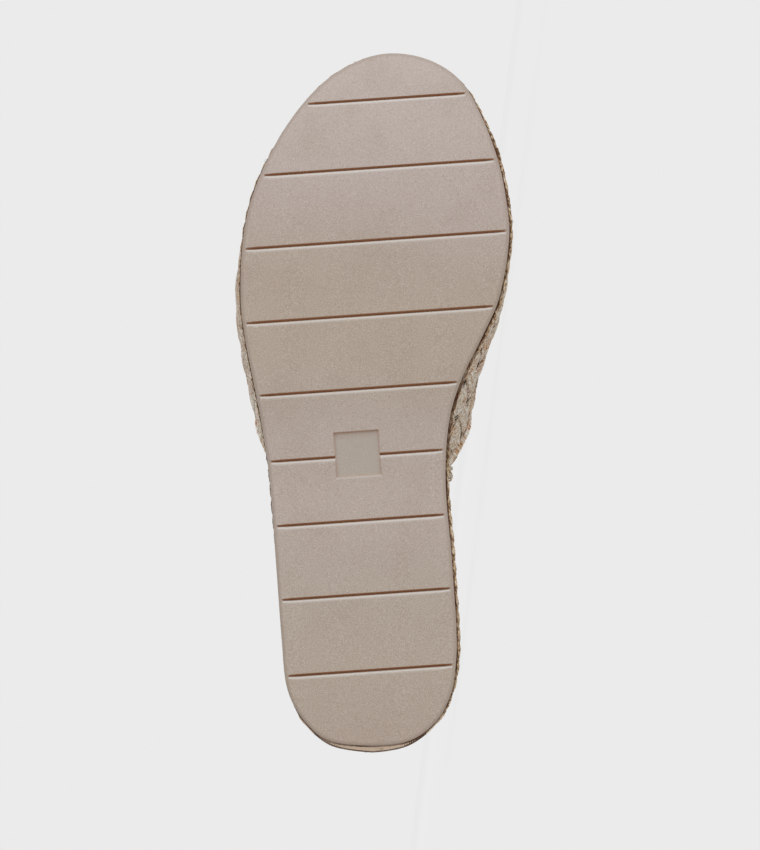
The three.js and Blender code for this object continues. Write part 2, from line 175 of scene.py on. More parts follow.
# The shoe's own frame, found from the two flat faces of the tread that the record states
mounts = {mount["name"]: mount for mount in frame["record"]["mounts"]}
heel_spot = Vector(mounts["tread_heel"]["pos_m"])
ball_spot = Vector(mounts["tread_ball"]["pos_m"])
HEEL_SPOT_X = 41.0
shoe_up = -Vector(mounts["tread_heel"]["axis"]).normalized()
shoe_toe = (ball_spot - heel_spot).normalized()
shoe_inner = shoe_up.cross(shoe_toe).normalized()
shoe_axes = np.array([shoe_toe, shoe_inner, shoe_up])
shoe_origin = np.array(heel_spot) - HEEL_SPOT_X * MM * shoe_axes[0]


def to_row(points):
    """Points of the shoe's own frame in millimetres, as places in the row frame in metres."""
    return shoe_origin + (np.asarray(points, float) * MM) @ shoe_axes


def place(x, y, z):
    return Vector(to_row((x, y, z)))


# The forms that the pieces share, worked out from the sizes and tables above
def smooth_step(value, low, high):
    u = np.clip((value - low) / (high - low), 0, 1)
    return u * u * (3 - 2 * u)


def near(x, middle, reach):
    return np.exp(-(((x - middle) / reach) ** 2))


def swells(x, rows):
    """Soft local swells. Each row holds a height, the swell's middle and its reach."""
    return sum(height * near(x, middle, reach) for height, middle, reach in rows)


def unit(vectors):
    return vectors / np.maximum(np.linalg.norm(vectors, axis=-1, keepdims=True), 1e-9)


def walk_along(path):
    return np.concatenate([[0], np.cumsum(np.linalg.norm(np.diff(path, axis=0), axis=1))])


def read_off(at, walk, points):
    """Points of a path at places along its walk."""
    return np.stack([np.interp(at, walk, column) for column in points.T], axis=1)


def angle_of(share):
    return np.arccos(1 - 2 * np.clip(share, 0, 1))


def column_curve(rows, name):
    """A smooth curve through one column of a table."""
    knots = angle_of(rows["at"])
    values = rows[name]
    last = len(knots) - 1
    before = np.maximum(np.arange(last + 1) - 1, 0)
    after = np.minimum(np.arange(last + 1) + 1, last)
    slopes = (values[after] - values[before]) / (knots[after] - knots[before])

    def read(share):
        angle = angle_of(share)
        k = np.clip(np.searchsorted(knots, angle) - 1, 0, last - 1)
        span = knots[k + 1] - knots[k]
        u = np.clip((angle - knots[k]) / span, 0, 1)
        start = values[k] * (1 + 2 * u) * (1 - u) ** 2 + slopes[k] * span * u * (1 - u) ** 2
        end = values[k + 1] * u * u * (3 - 2 * u) - slopes[k + 1] * span * u * u * (1 - u)
        return start + end

    return read


outline_outer = column_curve(OUTLINE, "outer")
outline_inner = column_curve(OUTLINE, "inner")
rope_at_heel = column_curve(ROPE_OUT, "heel")
rope_at_side = column_curve(ROPE_OUT, "side")
rope_at_toe = column_curve(ROPE_OUT, "toe")


def spring_lift(x):
    u = np.maximum(0, (x - BALL_FLAT_END) / (SOLE_LENGTH - BALL_FLAT_END))
    return TOE_SPRING * u ** SPRING_CURVE


def tread_lift(x):
    """Height of the tread: flat at the heel and the ball, raised at the arch and the toe."""
    u = np.clip((x - HEEL_FLAT_END) / (BALL_FLAT_START - HEEL_FLAT_END), 0, 1)
    return ARCH_RISE * np.sin(math.pi * u) ** 2 + spring_lift(x)


def wedge_top(x):
    u = np.clip((x - WEDGE_SEAT_END) / (WEDGE_RAMP_END - WEDGE_SEAT_END), 0, 1)
    thick = WEDGE_FOREFOOT + (WEDGE_HEEL - WEDGE_FOREFOOT) * (0.5 + 0.5 * np.cos(math.pi * u))
    return spring_lift(x) + OUTSOLE_THICKNESS + CLEARANCE + thick


def wedge_base(x):
    return tread_lift(x) + OUTSOLE_THICKNESS + CLEARANCE


def lean(height):
    return WEDGE_TAPER * height / WEDGE_HEEL


def outline_points(steps):
    """The tread's outline from the heel round the outer side, its normals, and how far the rope
    stands out there."""
    k = np.arange(2 * steps)
    share = 0.5 - 0.5 * np.cos(math.pi * np.minimum(k, 2 * steps - k) / steps)
    outer = k <= steps
    y = BALL_WIDTH * np.where(outer, -outline_outer(share), outline_inner(share))
    side = np.where(outer, ROPE_OUTER, ROPE_INNER) * rope_at_side(share)
    rope = ROPE_HEEL * rope_at_heel(share) + side + ROPE_TOE * rope_at_toe(share)
    spots = np.stack([SOLE_LENGTH * share, y], axis=1)
    along = unit(np.roll(spots, -1, axis=0) - np.roll(spots, 1, axis=0))
    normals = np.stack([along[:, 1], -along[:, 0]], axis=1)
    return spots, normals, rope


def even_outline(count):
    """The same outline with points at even distances along it."""
    spots, normals, rope = (np.concatenate([part, part[:1]]) for part in outline_points(FINE_STEPS))
    walk = walk_along(spots)
    at = np.linspace(0, walk[-1], count, endpoint=False)
    return read_off(at, walk, spots), unit(read_off(at, walk, normals)), np.interp(at, walk, rope)


def shown_edge(spots):
    """How far the shown outsole's edge lies outside the solid's outline."""
    x, y = spots[:, 0], spots[:, 1]
    inner = -0.27 * smooth_step(x, 14, 30) * (1 - smooth_step(x, 215, 235))
    return np.where(y < 0, 0.1 * near(x, 7, 5), inner) + 0.25 * near(x, 0, 1.5)


# Where the shown rope stands out more or less than the solid's ribs: height, middle and reach
OUTER_STAND = ((-0.55, 2.6, 2.2), (-0.3, 18, 5), (0.5, 9.5, 3.5))
INNER_STAND = ((-0.3, 2.4, 2), (0.7, 11, 6))


def shown_stand(spots, rope):
    """How far the shown rope stands out: less than the solid's ribs at the heel's corners."""
    x, y = spots[:, 0], spots[:, 1]
    heel = ROPE_HEEL * rope_at_heel(x / SOLE_LENGTH) * (0.08 + 0.3 * smooth_step(x, 0.2, 8))
    outer = 0.5 * smooth_step(x, 60, 90) * (1 - smooth_step(x, 200, 225))
    outer = outer + 0.38 * smooth_step(x, 108, 122) - 0.2 + swells(x, OUTER_STAND)
    inner = 0.4 * smooth_step(x, 205, 218) * (1 - smooth_step(x, 236, 246))
    inner = inner - 0.25 + swells(x, INNER_STAND)
    return rope - heel + np.where(y < 0, outer, inner)


ring_spots, ring_normals, ring_rope = even_outline(RING_POINTS)
rope_stand = shown_stand(ring_spots, ring_rope)


def moved_ring(away):
    """The outline moved outwards by a distance for each of its points."""
    return ring_spots + ring_normals * np.asarray(away).reshape(-1, 1)


def side_lines(inset):
    """Half widths of an outline that lies inside the rope's crest, read off at any x."""
    spots, normals, rope = outline_points(FINE_STEPS)
    moved = spots + normals * (rope - inset)[:, None]
    outer = moved[: FINE_STEPS + 1]
    inner = np.vstack([moved[:1], moved[FINE_STEPS:][::-1]])
    tip = moved[FINE_STEPS]

    def read(line):
        order = np.maximum.accumulate(line[:, 0])
        return lambda x: np.interp(x, order, line[:, 1])

    return read(outer), read(inner), tip


def rounded_section(points, per_span):
    """The centripetal curve through a section's points, as many short steps."""
    ends = [2 * points[0] - points[1], *points, 2 * points[-1] - points[-2]]
    out = []
    u = np.linspace(0, 1, per_span, endpoint=False)[:, None]
    for p0, p1, p2, p3 in zip(ends, ends[1:], ends[2:], ends[3:]):
        d0, d1, d2 = (max(np.linalg.norm(b - a) ** 0.5, 1e-4) for a, b in ((p0, p1), (p1, p2), (p2, p3)))
        m1 = ((p1 - p0) / d0 - (p2 - p0) / (d0 + d1) + (p2 - p1) / d1) * d1
        m2 = ((p2 - p1) / d1 - (p3 - p1) / (d1 + d2) + (p3 - p2) / d2) * d1
        start = p1 * (1 + 2 * u) * (1 - u) ** 2 + m1 * u * (1 - u) ** 2
        out.append(start + p2 * u * u * (3 - 2 * u) - m2 * u * u * (1 - u))
    out.append(points[-1][None])
    return np.vstack(out)


class WallFace:
    """One face of the upper's wall. A place on it is given in millimetres: along the ridge from the
    waist to the toe, and round the section from the ridge, outwards negative."""

    SECTIONS = 260
    ROUND = 160

    def __init__(self, inset, thinned):
        outer, inner, tip = side_lines(inset)
        turn = np.linspace(0, math.pi / 2, self.SECTIONS)
        self.x = TOPLINE_SIDE + (tip[0] - 0.02 - TOPLINE_SIDE) * np.sin(turn)
        share = self.x / tip[0]
        names = ("height", "ridge", "outer", "inner")
        column = {name: column_curve(UPPER, name)(share) for name in names}
        full = INSTEP_HEIGHT * np.maximum(column["height"], 1e-3)
        high = full * full / (full + thinned)
        to_strips = UPPER_INSET - STRIP_RISE
        swell_left = -(OUTER_SWELL * column["outer"] + to_strips - ROPE_OUTER)
        swell_right = INNER_SWELL * column["inner"] + to_strips - ROPE_INNER
        self.grid = np.zeros((self.SECTIONS, self.ROUND + 1, 3))
        self.length = np.zeros(self.SECTIONS)
        even = np.linspace(0, 1, self.ROUND + 1)
        for k, x in enumerate(self.x):
            left, right = outer(x), inner(x)
            full_swell = min(1.0, (right - left) / FULL_SWELL_WIDTH)
            crown = (left + right) / 2 + RIDGE_SHIFT * column["ridge"][k] * full_swell
            to_left, to_right = (
                crown + (side - crown) * SECTION["across"] + swell[k] * full_swell * SECTION["out"]
                for side, swell in ((left, swell_left), (right, swell_right))
            )
            up = SECTION["up"] * high[k]
            points = np.vstack([np.stack([to_left, up], 1), np.stack([to_right, up], 1)[:-1][::-1]])
            line = rounded_section(points, 12)
            walk = walk_along(line)
            self.length[k] = walk[-1]
            self.grid[k, :, 0] = x
            self.grid[k, :, 1:] = read_off(even * walk[-1], walk, line)
            self.grid[k, :, 2] += wedge_top(x) + CLEARANCE
        self.along = walk_along(self.grid[:, self.ROUND // 2])

    def half(self, along):
        """Half the section's length at a place along the ridge."""
        return np.interp(along, self.along, self.length) / 2

    def at_x(self, x):
        return np.interp(x, self.x, self.along)

    def share_round(self, along, round_it):
        return np.clip(0.5 + 0.5 * round_it / self.half(along), 0, 1)

    def spot(self, along, round_it):
        """The point of the face at such a place, in the shoe's frame."""
        along = np.asarray(along, float)
        row = np.clip(np.interp(along, self.along, np.arange(self.SECTIONS)), 0, self.SECTIONS - 1.001)
        column = np.clip(self.share_round(along, round_it) * self.ROUND, 0, self.ROUND - 0.001)
        i, j = row.astype(int), column.astype(int)
        a, b = (row - i)[..., None], (column - j)[..., None]
        g = self.grid
        this_row = g[i, j] * (1 - b) + g[i, j + 1] * b
        next_row = g[i + 1, j] * (1 - b) + g[i + 1, j + 1] * b
        return this_row * (1 - a) + next_row * a

    def outward(self, along, round_it):
        """The unit normal there, away from the foot."""
        step = 0.8
        half = self.half(along)
        round_it = np.clip(round_it, step - half, half - step)
        lengthwise = self.spot(along + step, round_it) - self.spot(along - step, round_it)
        sideways = self.spot(along, round_it + step) - self.spot(along, round_it - step)
        return unit(np.cross(lengthwise, sideways))


def topline_x(share):
    """Where the upper begins, at a share of the way round its section."""
    rise = np.sin(math.pi * np.clip(share, 0, 1))
    return TOPLINE_SIDE + (THROAT - TOPLINE_SIDE) * np.maximum(0, rise) ** TOPLINE_CURVE


# Making pieces
def put(name, data):
    """A new object in the scene."""
    thing = bpy.data.objects.new(name, data)
    bpy.context.scene.collection.objects.link(thing)
    return thing


def new_piece(name, mesh, material, replaces=()):
    """A finished mesh as a piece of the shoe."""
    piece = put(name, mesh)
    mesh.materials.append(material)
    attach(piece, "root")
    if replaces:
        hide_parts(*replaces)
    return piece


def mesh_from(name, points, faces, uvs=None, values=None):
    """A smooth mesh from points in the shoe's frame. uvs are one pair for each corner of each face,
    and values are named numbers for each point."""
    mesh = bpy.data.meshes.new(name)
    mesh.from_pydata(to_row(points).tolist(), [], [list(map(int, face)) for face in faces])
    if uvs is not None:
        layer = mesh.uv_layers.new(name="lay")
        layer.data.foreach_set("uv", np.asarray(uvs, np.float32).reshape(-1))
    for key, numbers in (values or {}).items():
        marks = mesh.attributes.new(key, "FLOAT", "POINT").data
        marks.foreach_set("value", np.asarray(numbers, np.float32))
    work = bmesh.new()
    work.from_mesh(mesh)
    bmesh.ops.remove_doubles(work, verts=work.verts, dist=0.000002)
    bmesh.ops.recalc_face_normals(work, faces=work.faces)
    for face in work.faces:
        face.smooth = True
    work.to_mesh(mesh)
    work.free()
    return mesh


def tube_faces(rows, columns):
    """The four-sided faces of a tube with its points stored row by row."""
    i = np.arange(rows - 1)[:, None] * columns
    j = np.arange(columns)[None, :]
    beside = (j + 1) % columns
    return np.stack([i + j, i + beside, i + columns + beside, i + columns + j], -1).reshape(-1, 4)


# Camera: it looks square at the tread with the toe up in the picture, just clear of the floor.
IMAGE_MIDDLE = (116.0, 2.9)
CAMERA_DISTANCE = 1150.0
IMAGE_HEIGHT = 308.0
SENSOR = 36.0


def add_camera():
    data = bpy.data.cameras.new("camera")
    camera = put("camera", data)
    data.sensor_width = SENSOR
    data.lens = SENSOR * CAMERA_DISTANCE / IMAGE_HEIGHT
    data.clip_start = 0.05
    data.clip_end = 50
    turn = Matrix((shoe_inner, shoe_toe, -shoe_up)).transposed()
    spot = place(IMAGE_MIDDLE[0], IMAGE_MIDDLE[1], -CAMERA_DISTANCE)
    camera.matrix_world = Matrix.Translation(spot) @ turn.to_4x4()
    bpy.context.scene.camera = camera


# Studio: one pale tone for the floor and all round, and soft lamps
PALE = 0.83


def add_lamp(name, spot, aim, size, power):
    data = bpy.data.lights.new(name, "AREA")
    data.shape = "DISK"
    data.size = size
    data.energy = power
    lamp = put(name, data)
    direction = Vector(aim) - Vector(spot)
    lamp.rotation_euler = direction.to_track_quat("-Z", "Y").to_euler()
    lamp.location = spot


def glow_by_ray(tree, socket, seen, cast):
    """One strength where the camera sees it and another for the light that it casts."""
    ray = tree.nodes.new("ShaderNodeLightPath")
    node = tree.nodes.new("ShaderNodeMapRange")
    node.inputs[3].default_value = cast
    node.inputs[4].default_value = seen
    tree.links.new(ray.outputs["Is Camera Ray"], node.inputs[0])
    tree.links.new(node.outputs[0], socket)


def add_studio():
    bpy.ops.mesh.primitive_plane_add(size=30, location=(0, 0, 0))
    floor = bpy.context.object
    floor.name = "floor"
    paint = bpy.data.materials.new("pale_floor")
    paint.use_nodes = True
    shader = paint.node_tree.nodes["Principled BSDF"]
    shader.inputs["Base Color"].default_value = (0.04, 0.04, 0.04, 1)
    shader.inputs["Roughness"].default_value = 1
    shader.inputs["Specular IOR Level"].default_value = 0
    shader.inputs["Emission Color"].default_value = (1, 1, 1, 1)
    glow_by_ray(paint.node_tree, shader.inputs["Emission Strength"], PALE - 0.034, 0.8)
    floor.data.materials.append(paint)
    world = bpy.data.worlds.new("studio")
    world.use_nodes = True
    backdrop = world.node_tree.nodes["Background"]
    backdrop.inputs["Color"].default_value = (PALE, PALE, PALE, 1)
    glow_by_ray(world.node_tree, backdrop.inputs["Strength"], 1.0, 0.5)
    bpy.context.scene.world = world
    add_lamp("key_lamp", (2.5, -2.3, 0.55), (0, 0, 0.04), 0.9, 44)
    add_lamp("fill_lamp", (0.1, -1.8, 2.4), (0, 0, 0.04), 1.5, 18)
    add_lamp("back_lamp", (-0.7, 2.2, 2.0), (0, 0, 0.04), 1.5, 30)


# Materials
class Paint:
    """A material's nodes, added and joined one by one, and its colour as far as it is laid."""

    def __init__(self, name):
        self.material = bpy.data.materials.new(name)
        self.material.use_nodes = True
        self.tree = self.material.node_tree
        self.shader = self.tree.nodes["Principled BSDF"]
        self.spot = self.add("TexCoord").outputs["Object"]
        self.color = None

    def add(self, kind, inputs=(), **settings):
        node = self.tree.nodes.new("ShaderNode" + kind)
        for key, value in settings.items():
            setattr(node, key, value)
        for key, value in dict(inputs).items():
            self.feed(node.inputs[key], value)
        return node

    def feed(self, socket, value):
        if isinstance(value, bpy.types.NodeSocket):
            self.tree.links.new(value, socket)
        else:
            socket.default_value = value

    def math(self, operation, *values):
        return self.add("Math", enumerate(values), operation=operation).outputs[0]

    def times(self, first, second):
        return self.math("MULTIPLY", first, second)

    def span(self, value, low, high, to_low=0.0, to_high=1.0):
        node = self.add("MapRange", {0: value, 1: low, 2: high, 3: to_low, 4: to_high})
        node.interpolation_type = "SMOOTHSTEP"
        return node.outputs[0]

    def given(self, name):
        """The number that each point of the mesh holds under a name."""
        return self.add("Attribute", attribute_name=name).outputs["Fac"]

    def lay(self):
        """The places along and round a strand, or along and across a strip."""
        apart = self.add("SeparateXYZ", {0: self.add("UVMap", uv_map="lay").outputs["UV"]})
        return apart.outputs[0], apart.outputs[1]

    def drawn(self, *numbers):
        """A place for a noise that is drawn out, from two or three numbers."""
        return self.add("CombineXYZ", enumerate(numbers)).outputs[0]

    def noise(self, scale, detail=3.0, rough=0.5, twist=0.0, where=None):
        inputs = {"Scale": scale, "Detail": detail, "Roughness": rough, "Distortion": twist}
        return self.add("TexNoise", {"Vector": where or self.spot, **inputs}).outputs["Fac"]

    def mix(self, share, first, second):
        return self.add("Mix", {0: share, 6: first, 7: second}, data_type="RGBA").outputs[2]

    def over(self, share, *shown):
        """Lays a tone over the colour so far."""
        self.color = self.mix(share, self.color, tone(*shown))

    def ramp(self, value, stops):
        """Starts the colour from tones at places of a value."""
        node = self.add("ValToRGB", {"Fac": value})
        marks = node.color_ramp.elements
        while len(marks) < len(stops):
            marks.new(0.5)
        for mark, (at, *shown) in zip(marks, stops):
            mark.position = at
            mark.color = tone(*shown)
        self.color = node.outputs[0]

    def bump(self, *heights):
        """Bumps laid over each other: each is a height, how much of it and how deep in metres."""
        normal = None
        for height, strength, distance in heights:
            node = self.add("Bump", {"Height": height, "Strength": strength, "Distance": distance})
            if normal is not None:
                self.feed(node.inputs["Normal"], normal)
            normal = node.outputs["Normal"]
        self.feed(self.shader.inputs["Normal"], normal)

    def finish(self, roughness, **sockets):
        self.feed(self.shader.inputs["Base Color"], self.color)
        self.feed(self.shader.inputs["Roughness"], roughness)
        for key, value in sockets.items():
            self.feed(self.shader.inputs[key.replace("_", " ")], value)
        return self.material


def tone(red, green, blue):
    """A colour as a screen shows it, from 0 to 255, as the shader takes it."""
    def linear(value):
        value /= 255
        return value / 12.92 if value <= 0.04045 else ((value + 0.055) / 1.055) ** 2.4
    return (linear(red), linear(green), linear(blue), 1)


def outsole_rubber():
    """Matte moulded rubber: a fine grain, lighter towards the toe as painted light, tan at the heel and
    the ball, brown stain in the grooves, and painted shade and highlights at the grooves, the recess and
    the edge.
    """
    paint = Paint("outsole_rubber")
    moved = {0: paint.spot, 1: tuple(shoe_origin)}
    from_heel = {0: paint.add("VectorMath", moved, operation="SUBTRACT").outputs[0], 1: tuple(shoe_toe)}
    along = paint.add("VectorMath", from_heel, operation="DOT_PRODUCT").outputs["Value"]
    waver = paint.times(paint.math("SUBTRACT", paint.noise(22.0, 2.0), 0.5), 0.03)
    # The tone along the sole: lighter and pinker towards the toe as painted light falling from the toe
    # side, tan at the heel and the ball.
    paint.ramp(paint.math("DIVIDE", paint.math("ADD", along, waver), SOLE_LENGTH * MM), [
        (0.0, 170, 154, 140),
        (0.12, 173, 159, 145),
        (0.3, 175, 161, 151),
        (0.44, 177, 163, 154),
        (0.55, 172, 157, 142),
        (0.68, 172, 157, 143),
        (0.78, 177, 163, 155),
        (1.0, 184, 172, 165),
    ])
    smudge = paint.noise(55.0, 4.0, 0.6)
    peel = paint.noise(2100.0, 2.0, 0.6)
    grain = paint.noise(2900.0, 2.0, 0.7)
    paint.over(paint.span(smudge, 0.42, 0.72, 0.0, 0.28), 158, 142, 128)
    paint.over(paint.span(peel, 0.5, 0.72, 0.0, 0.36), 202, 192, 184)
    paint.over(paint.span(peel, 0.5, 0.28, 0.0, 0.36), 144, 126, 111)
    paint.over(paint.span(grain, 0.53, 0.66, 0.0, 0.22), 214, 206, 200)
    paint.over(paint.span(grain, 0.47, 0.34, 0.0, 0.22), 132, 114, 99)
    # Painted shade on the outsole's rounded edge and its side, which turn away from the light.
    paint.over(paint.times(paint.given("edge"), 0.3), 150, 132, 117)
    paint.over(paint.times(paint.given("sunk"), 0.55), 168, 160, 149)
    # Brown stain in the grooves and along the recess's walls, with painted shade on the recess's
    # toe-side wall.
    paint.over(paint.given("groove"), 164, 110, 72)
    paint.over(paint.times(paint.given("shade"), 0.8), 74, 52, 40)
    # Painted highlights on the heel-side lips of the grooves and the recess.
    paint.over(paint.times(paint.given("lip_highlight"), 0.75), 216, 212, 207)
    paint.bump((smudge, 0.1, 0.0006), (peel, 0.4, 0.00025), (grain, 0.25, 0.0001))
    return paint.finish(paint.span(grain, 0.2, 0.8, 0.7, 0.92), Specular_IOR_Level=0.32)


def jute_rope():
    """Twisted jute: straw-gold fibres along each strand, with brown painted shade in the lay between
    strands.
    """
    paint = Paint("jute_rope")
    along, turn = paint.lay()
    strand = paint.math("PINGPONG", paint.times(turn, 3.0), 0.5)
    twist = paint.math("ADD", paint.times(along, 0.55), paint.times(turn, 7.5))
    yarn = paint.math("PINGPONG", twist, 0.5)
    drawn = paint.drawn(paint.times(along, 0.5), paint.times(turn, 46.0))
    fibre = paint.noise(1.0, 3.0, 0.6, where=drawn)
    broad = paint.noise(90.0)
    flecks = paint.noise(620.0, 3.0, 0.6)
    even = paint.given("even")
    golds = [(0.34, 116, 78, 50), (0.44, 180, 143, 103), (0.54, 220, 195, 159), (0.68, 245, 231, 206)]
    paint.ramp(fibre, golds)
    paint.over(paint.span(broad, 0.42, 0.72, 0.0, 0.35), 158, 114, 74)
    paint.over(paint.span(flecks, 0.47, 0.39, 0.0, 0.9), 84, 48, 24)
    paint.over(paint.span(flecks, 0.55, 0.63, 0.0, 0.7), 240, 232, 218)
    # Painted shade in the lay between yarns and, less at the heel, between strands.
    shade_between_yarns = paint.times(paint.span(yarn, 0.2, 0.02), paint.span(fibre, 0.35, 0.6, 0.75, 0.25))
    paint.over(shade_between_yarns, 112, 74, 40)
    shade_between_strands = paint.times(paint.span(strand, 0.13, 0.0), paint.span(even, 0.0, 1.0, 0.9, 0.0))
    paint.over(shade_between_strands, 72, 45, 24)
    paint.over(paint.times(even, 0.85), 235, 211, 188)
    ragged = paint.span(paint.noise(700.0), 0.3, 0.7, -0.2, 0.2)
    ragged = paint.times(ragged, paint.span(even, 0.0, 1.0, 1.0, 0.25))
    # Painted shade: row 0 is darkened where it lies within the shade line beside the outsole.
    shade_line = paint.span(paint.math("ADD", paint.given("above"), ragged), 0.08, -0.1)
    paint.over(paint.times(shade_line, paint.span(broad, 0.35, 0.6, 0.6, 0.95)), 72, 36, 12)
    paint.bump((yarn, 0.5, 0.0005), (fibre, 0.8, 0.0005))
    return paint.finish(0.86, Specular_IOR_Level=0.25)


def plaited_straw():
    """Raffia straw: fine fibres along each strip, pale grey-beige, with brown painted shade at strip
    edges, in furrows and where strips go under, and painted highlights on crinkles.
    """
    paint = Paint("plaited_straw")
    along, across = paint.lay()
    tint, low = paint.given("tint"), paint.given("low")
    drawn = paint.drawn(paint.times(along, 0.06), paint.times(across, 2.0), paint.times(tint, 50.0))
    fibre = paint.noise(1.0, 4.0, 0.65, where=drawn)
    drawn = paint.drawn(paint.times(along, 0.4), paint.times(across, 1.25), paint.times(tint, 31.0))
    crinkle = paint.noise(1.0, 3.0, 0.65, 1.6, where=drawn)
    patch = paint.noise(120.0, 3.0, 0.6)
    specks = paint.noise(560.0, 2.0, 0.6)
    rumple = paint.noise(420.0, 3.0, 0.6)
    greys = [(0.32, 158, 121, 81), (0.42, 201, 184, 160), (0.56, 217, 207, 190), (0.7, 236, 231, 221)]
    paint.ramp(fibre, greys)
    paint.over(paint.times(tint, 0.35), 188, 168, 138)
    # Painted highlights on the straw's crinkles.
    paint.over(paint.span(crinkle, 0.52, 0.6, 0.0, 0.8), 240, 237, 231)
    paint.over(paint.span(patch, 0.52, 0.64, 0.0, 0.35), 196, 150, 104)
    cluster = paint.span(patch, 0.46, 0.56, 0.25, 1.0)
    paint.over(paint.times(paint.span(crinkle, 0.5, 0.43, 0.0, 0.9), cluster), 182, 118, 54)
    paint.over(paint.times(paint.span(crinkle, 0.43, 0.36, 0.0, 0.95), cluster), 76, 40, 14)
    paint.over(paint.times(low, 0.5), 176, 153, 129)
    paint.over(paint.times(low, paint.span(specks, 0.55, 0.64, 0.0, 0.75)), 112, 68, 34)
    ragged = paint.span(paint.noise(800.0, 3.0, 0.7), 0.3, 0.7, -0.32, 0.32)
    crease_shade = paint.math("ADD", paint.given("fold"), ragged)
    # Painted shade in folds and creases.
    paint.over(paint.span(crease_shade, 0.35, 1.0, 0.0, 0.88), 98, 60, 28)
    paint.bump((rumple, 0.8, 0.0016), (fibre, 0.5, 0.0004), (crinkle, 0.9, 0.0007))
    return paint.finish(paint.span(fibre, 0.2, 0.8, 0.75, 0.5), Specular_IOR_Level=0.4)


def lining_cloth():
    """Cotton lining: a plain weave, sand brown."""
    paint = Paint("lining_cloth")
    bands = {"Vector": paint.spot, "Scale": 260.0, "Distortion": 1.5}
    weave = paint.add("TexWave", bands, wave_type="BANDS").outputs["Fac"]
    paint.color = paint.mix(weave, tone(118, 86, 54), tone(160, 128, 90))
    paint.over(paint.span(paint.noise(60.0), 0.4, 0.7, 0.0, 0.4), 132, 100, 68)
    paint.bump((weave, 0.4, 0.0003))
    return paint.finish(0.9, Specular_IOR_Level=0.2, Sheen_Weight=0.15)


def insole_leather():
    """Smooth leather sock over foam: fine pores and a faint print of use."""
    paint = Paint("insole_leather")
    cells = {"Vector": paint.spot, "Scale": 1100.0}
    pores = paint.add("TexVoronoi", cells, feature="F1").outputs["Distance"]
    broad = paint.noise(35.0, 4.0)
    paint.color = paint.mix(paint.span(broad, 0.35, 0.7), tone(201, 174, 138), tone(184, 153, 114))
    paint.over(paint.span(pores, 0.0, 0.25, 0.3, 0.0), 140, 108, 74)
    paint.bump((pores, 0.25, 0.0002), (broad, 0.2, 0.001))
    return paint.finish(0.62, Specular_IOR_Level=0.4)


def wedge_board():
    """The wedge's body behind the rope: rough brown cork board."""
    paint = Paint("wedge_board")
    crumbs = paint.noise(420.0, 4.0, 0.6)
    paint.color = paint.mix(crumbs, tone(84, 58, 36), tone(128, 94, 60))
    paint.bump((crumbs, 0.5, 0.0008))
    return paint.finish(0.95)


# Outsole: a rubber plate whose tread is modelled on lines that run along the grooves. Lines lie close
# together beside each groove and beside the recess's walls.
EDGE_ROUND = 1.4
GROOVE_LINES = (0.2, 0.38, 0.5, 0.62, 0.76, 0.92, 1.15, 1.5, 2.1)
RECESS_LINES = (-1.0, -0.55, -0.3, -0.12, 0.06, 0.25, 0.6)
LEAST_GAP = 0.05
SIDE_COLUMNS = 40
RECESS_COLUMNS = 26


def skewed(spots):
    """Distances across and along the grooves, for points of the tread."""
    across = spots[..., 0] * math.cos(GROOVE_SKEW) - spots[..., 1] * math.sin(GROOVE_SKEW)
    along = spots[..., 0] * math.sin(GROOVE_SKEW) + spots[..., 1] * math.cos(GROOVE_SKEW)
    return across, along


def unskewed(across, along):
    x = across * math.cos(GROOVE_SKEW) + along * math.sin(GROOVE_SKEW)
    y = -across * math.sin(GROOVE_SKEW) + along * math.cos(GROOVE_SKEW)
    return np.stack([x, y], axis=-1)


grooves = np.array(GROOVE_PLACES) * SOLE_LENGTH * math.cos(GROOVE_SKEW)
recess_across, recess_along = skewed(np.array([RECESS_PLACE, RECESS_OFF]))


def crowd(count):
    """Shares that lie closer together at both ends."""
    u = np.linspace(0, 1, count + 1)
    return 0.35 * u + 0.65 * (0.5 - 0.5 * np.cos(math.pi * u))


def tread_grid(edge):
    """Rows of places on the tread inside its edge, each row along the grooves."""
    across, along = skewed(edge)
    heel, toe = int(np.argmin(across)), int(np.argmax(across))
    low, high = across[heel], across[toe]
    turn = np.linspace(0, math.pi, 96)
    lines = [low + (high - low) * (0.5 - 0.5 * np.cos(turn))]
    beside = np.array(GROOVE_LINES)
    lines += [groove - 0.1 + np.concatenate([-beside[::-1], [0], beside]) for groove in grooves]
    lines += [recess_across + sign * (RECESS_SIDE / 2 - np.array(RECESS_LINES)) for sign in (-1, 1)]
    lines = np.sort(np.concatenate(lines))
    lines = lines[(lines >= low) & (lines <= high)]
    lines = lines[np.concatenate([[True], np.diff(lines) > LEAST_GAP])]
    lines = lines[(lines == low) | (lines == high) | ((lines > low + 0.03) & (lines < high - 0.03))]

    to_toe = np.roll(np.arange(len(edge)), -heel)
    split = int(np.where(to_toe == toe)[0][0])
    sides = to_toe[: split + 1], np.append(to_toe[split:], heel)[::-1]
    start, end = (np.interp(lines, np.maximum.accumulate(across[side]), along[side]) for side in sides)
    past_recess = np.maximum(0, np.abs(lines - recess_across) - RECESS_SIDE)
    middle = recess_along + np.sign(lines - recess_across) * past_recess * math.sin(GROOVE_SKEW)
    wide = end - start
    left = np.clip(middle - RECESS_SIDE / 2, start + 0.25 * wide, start + 0.42 * wide)
    right = np.clip(middle + RECESS_SIDE / 2, start + 0.5 * wide, start + 0.75 * wide)
    columns = [start[:, None]]
    zones = ((start, left, SIDE_COLUMNS), (left, right, RECESS_COLUMNS), (right, end, SIDE_COLUMNS))
    for first, last, count in zones:
        columns.append(first[:, None] + (last - first)[:, None] * crowd(count)[None, 1:])
    along = np.concatenate(columns, axis=1)
    return np.repeat(lines[:, None], along.shape[1], axis=1), along


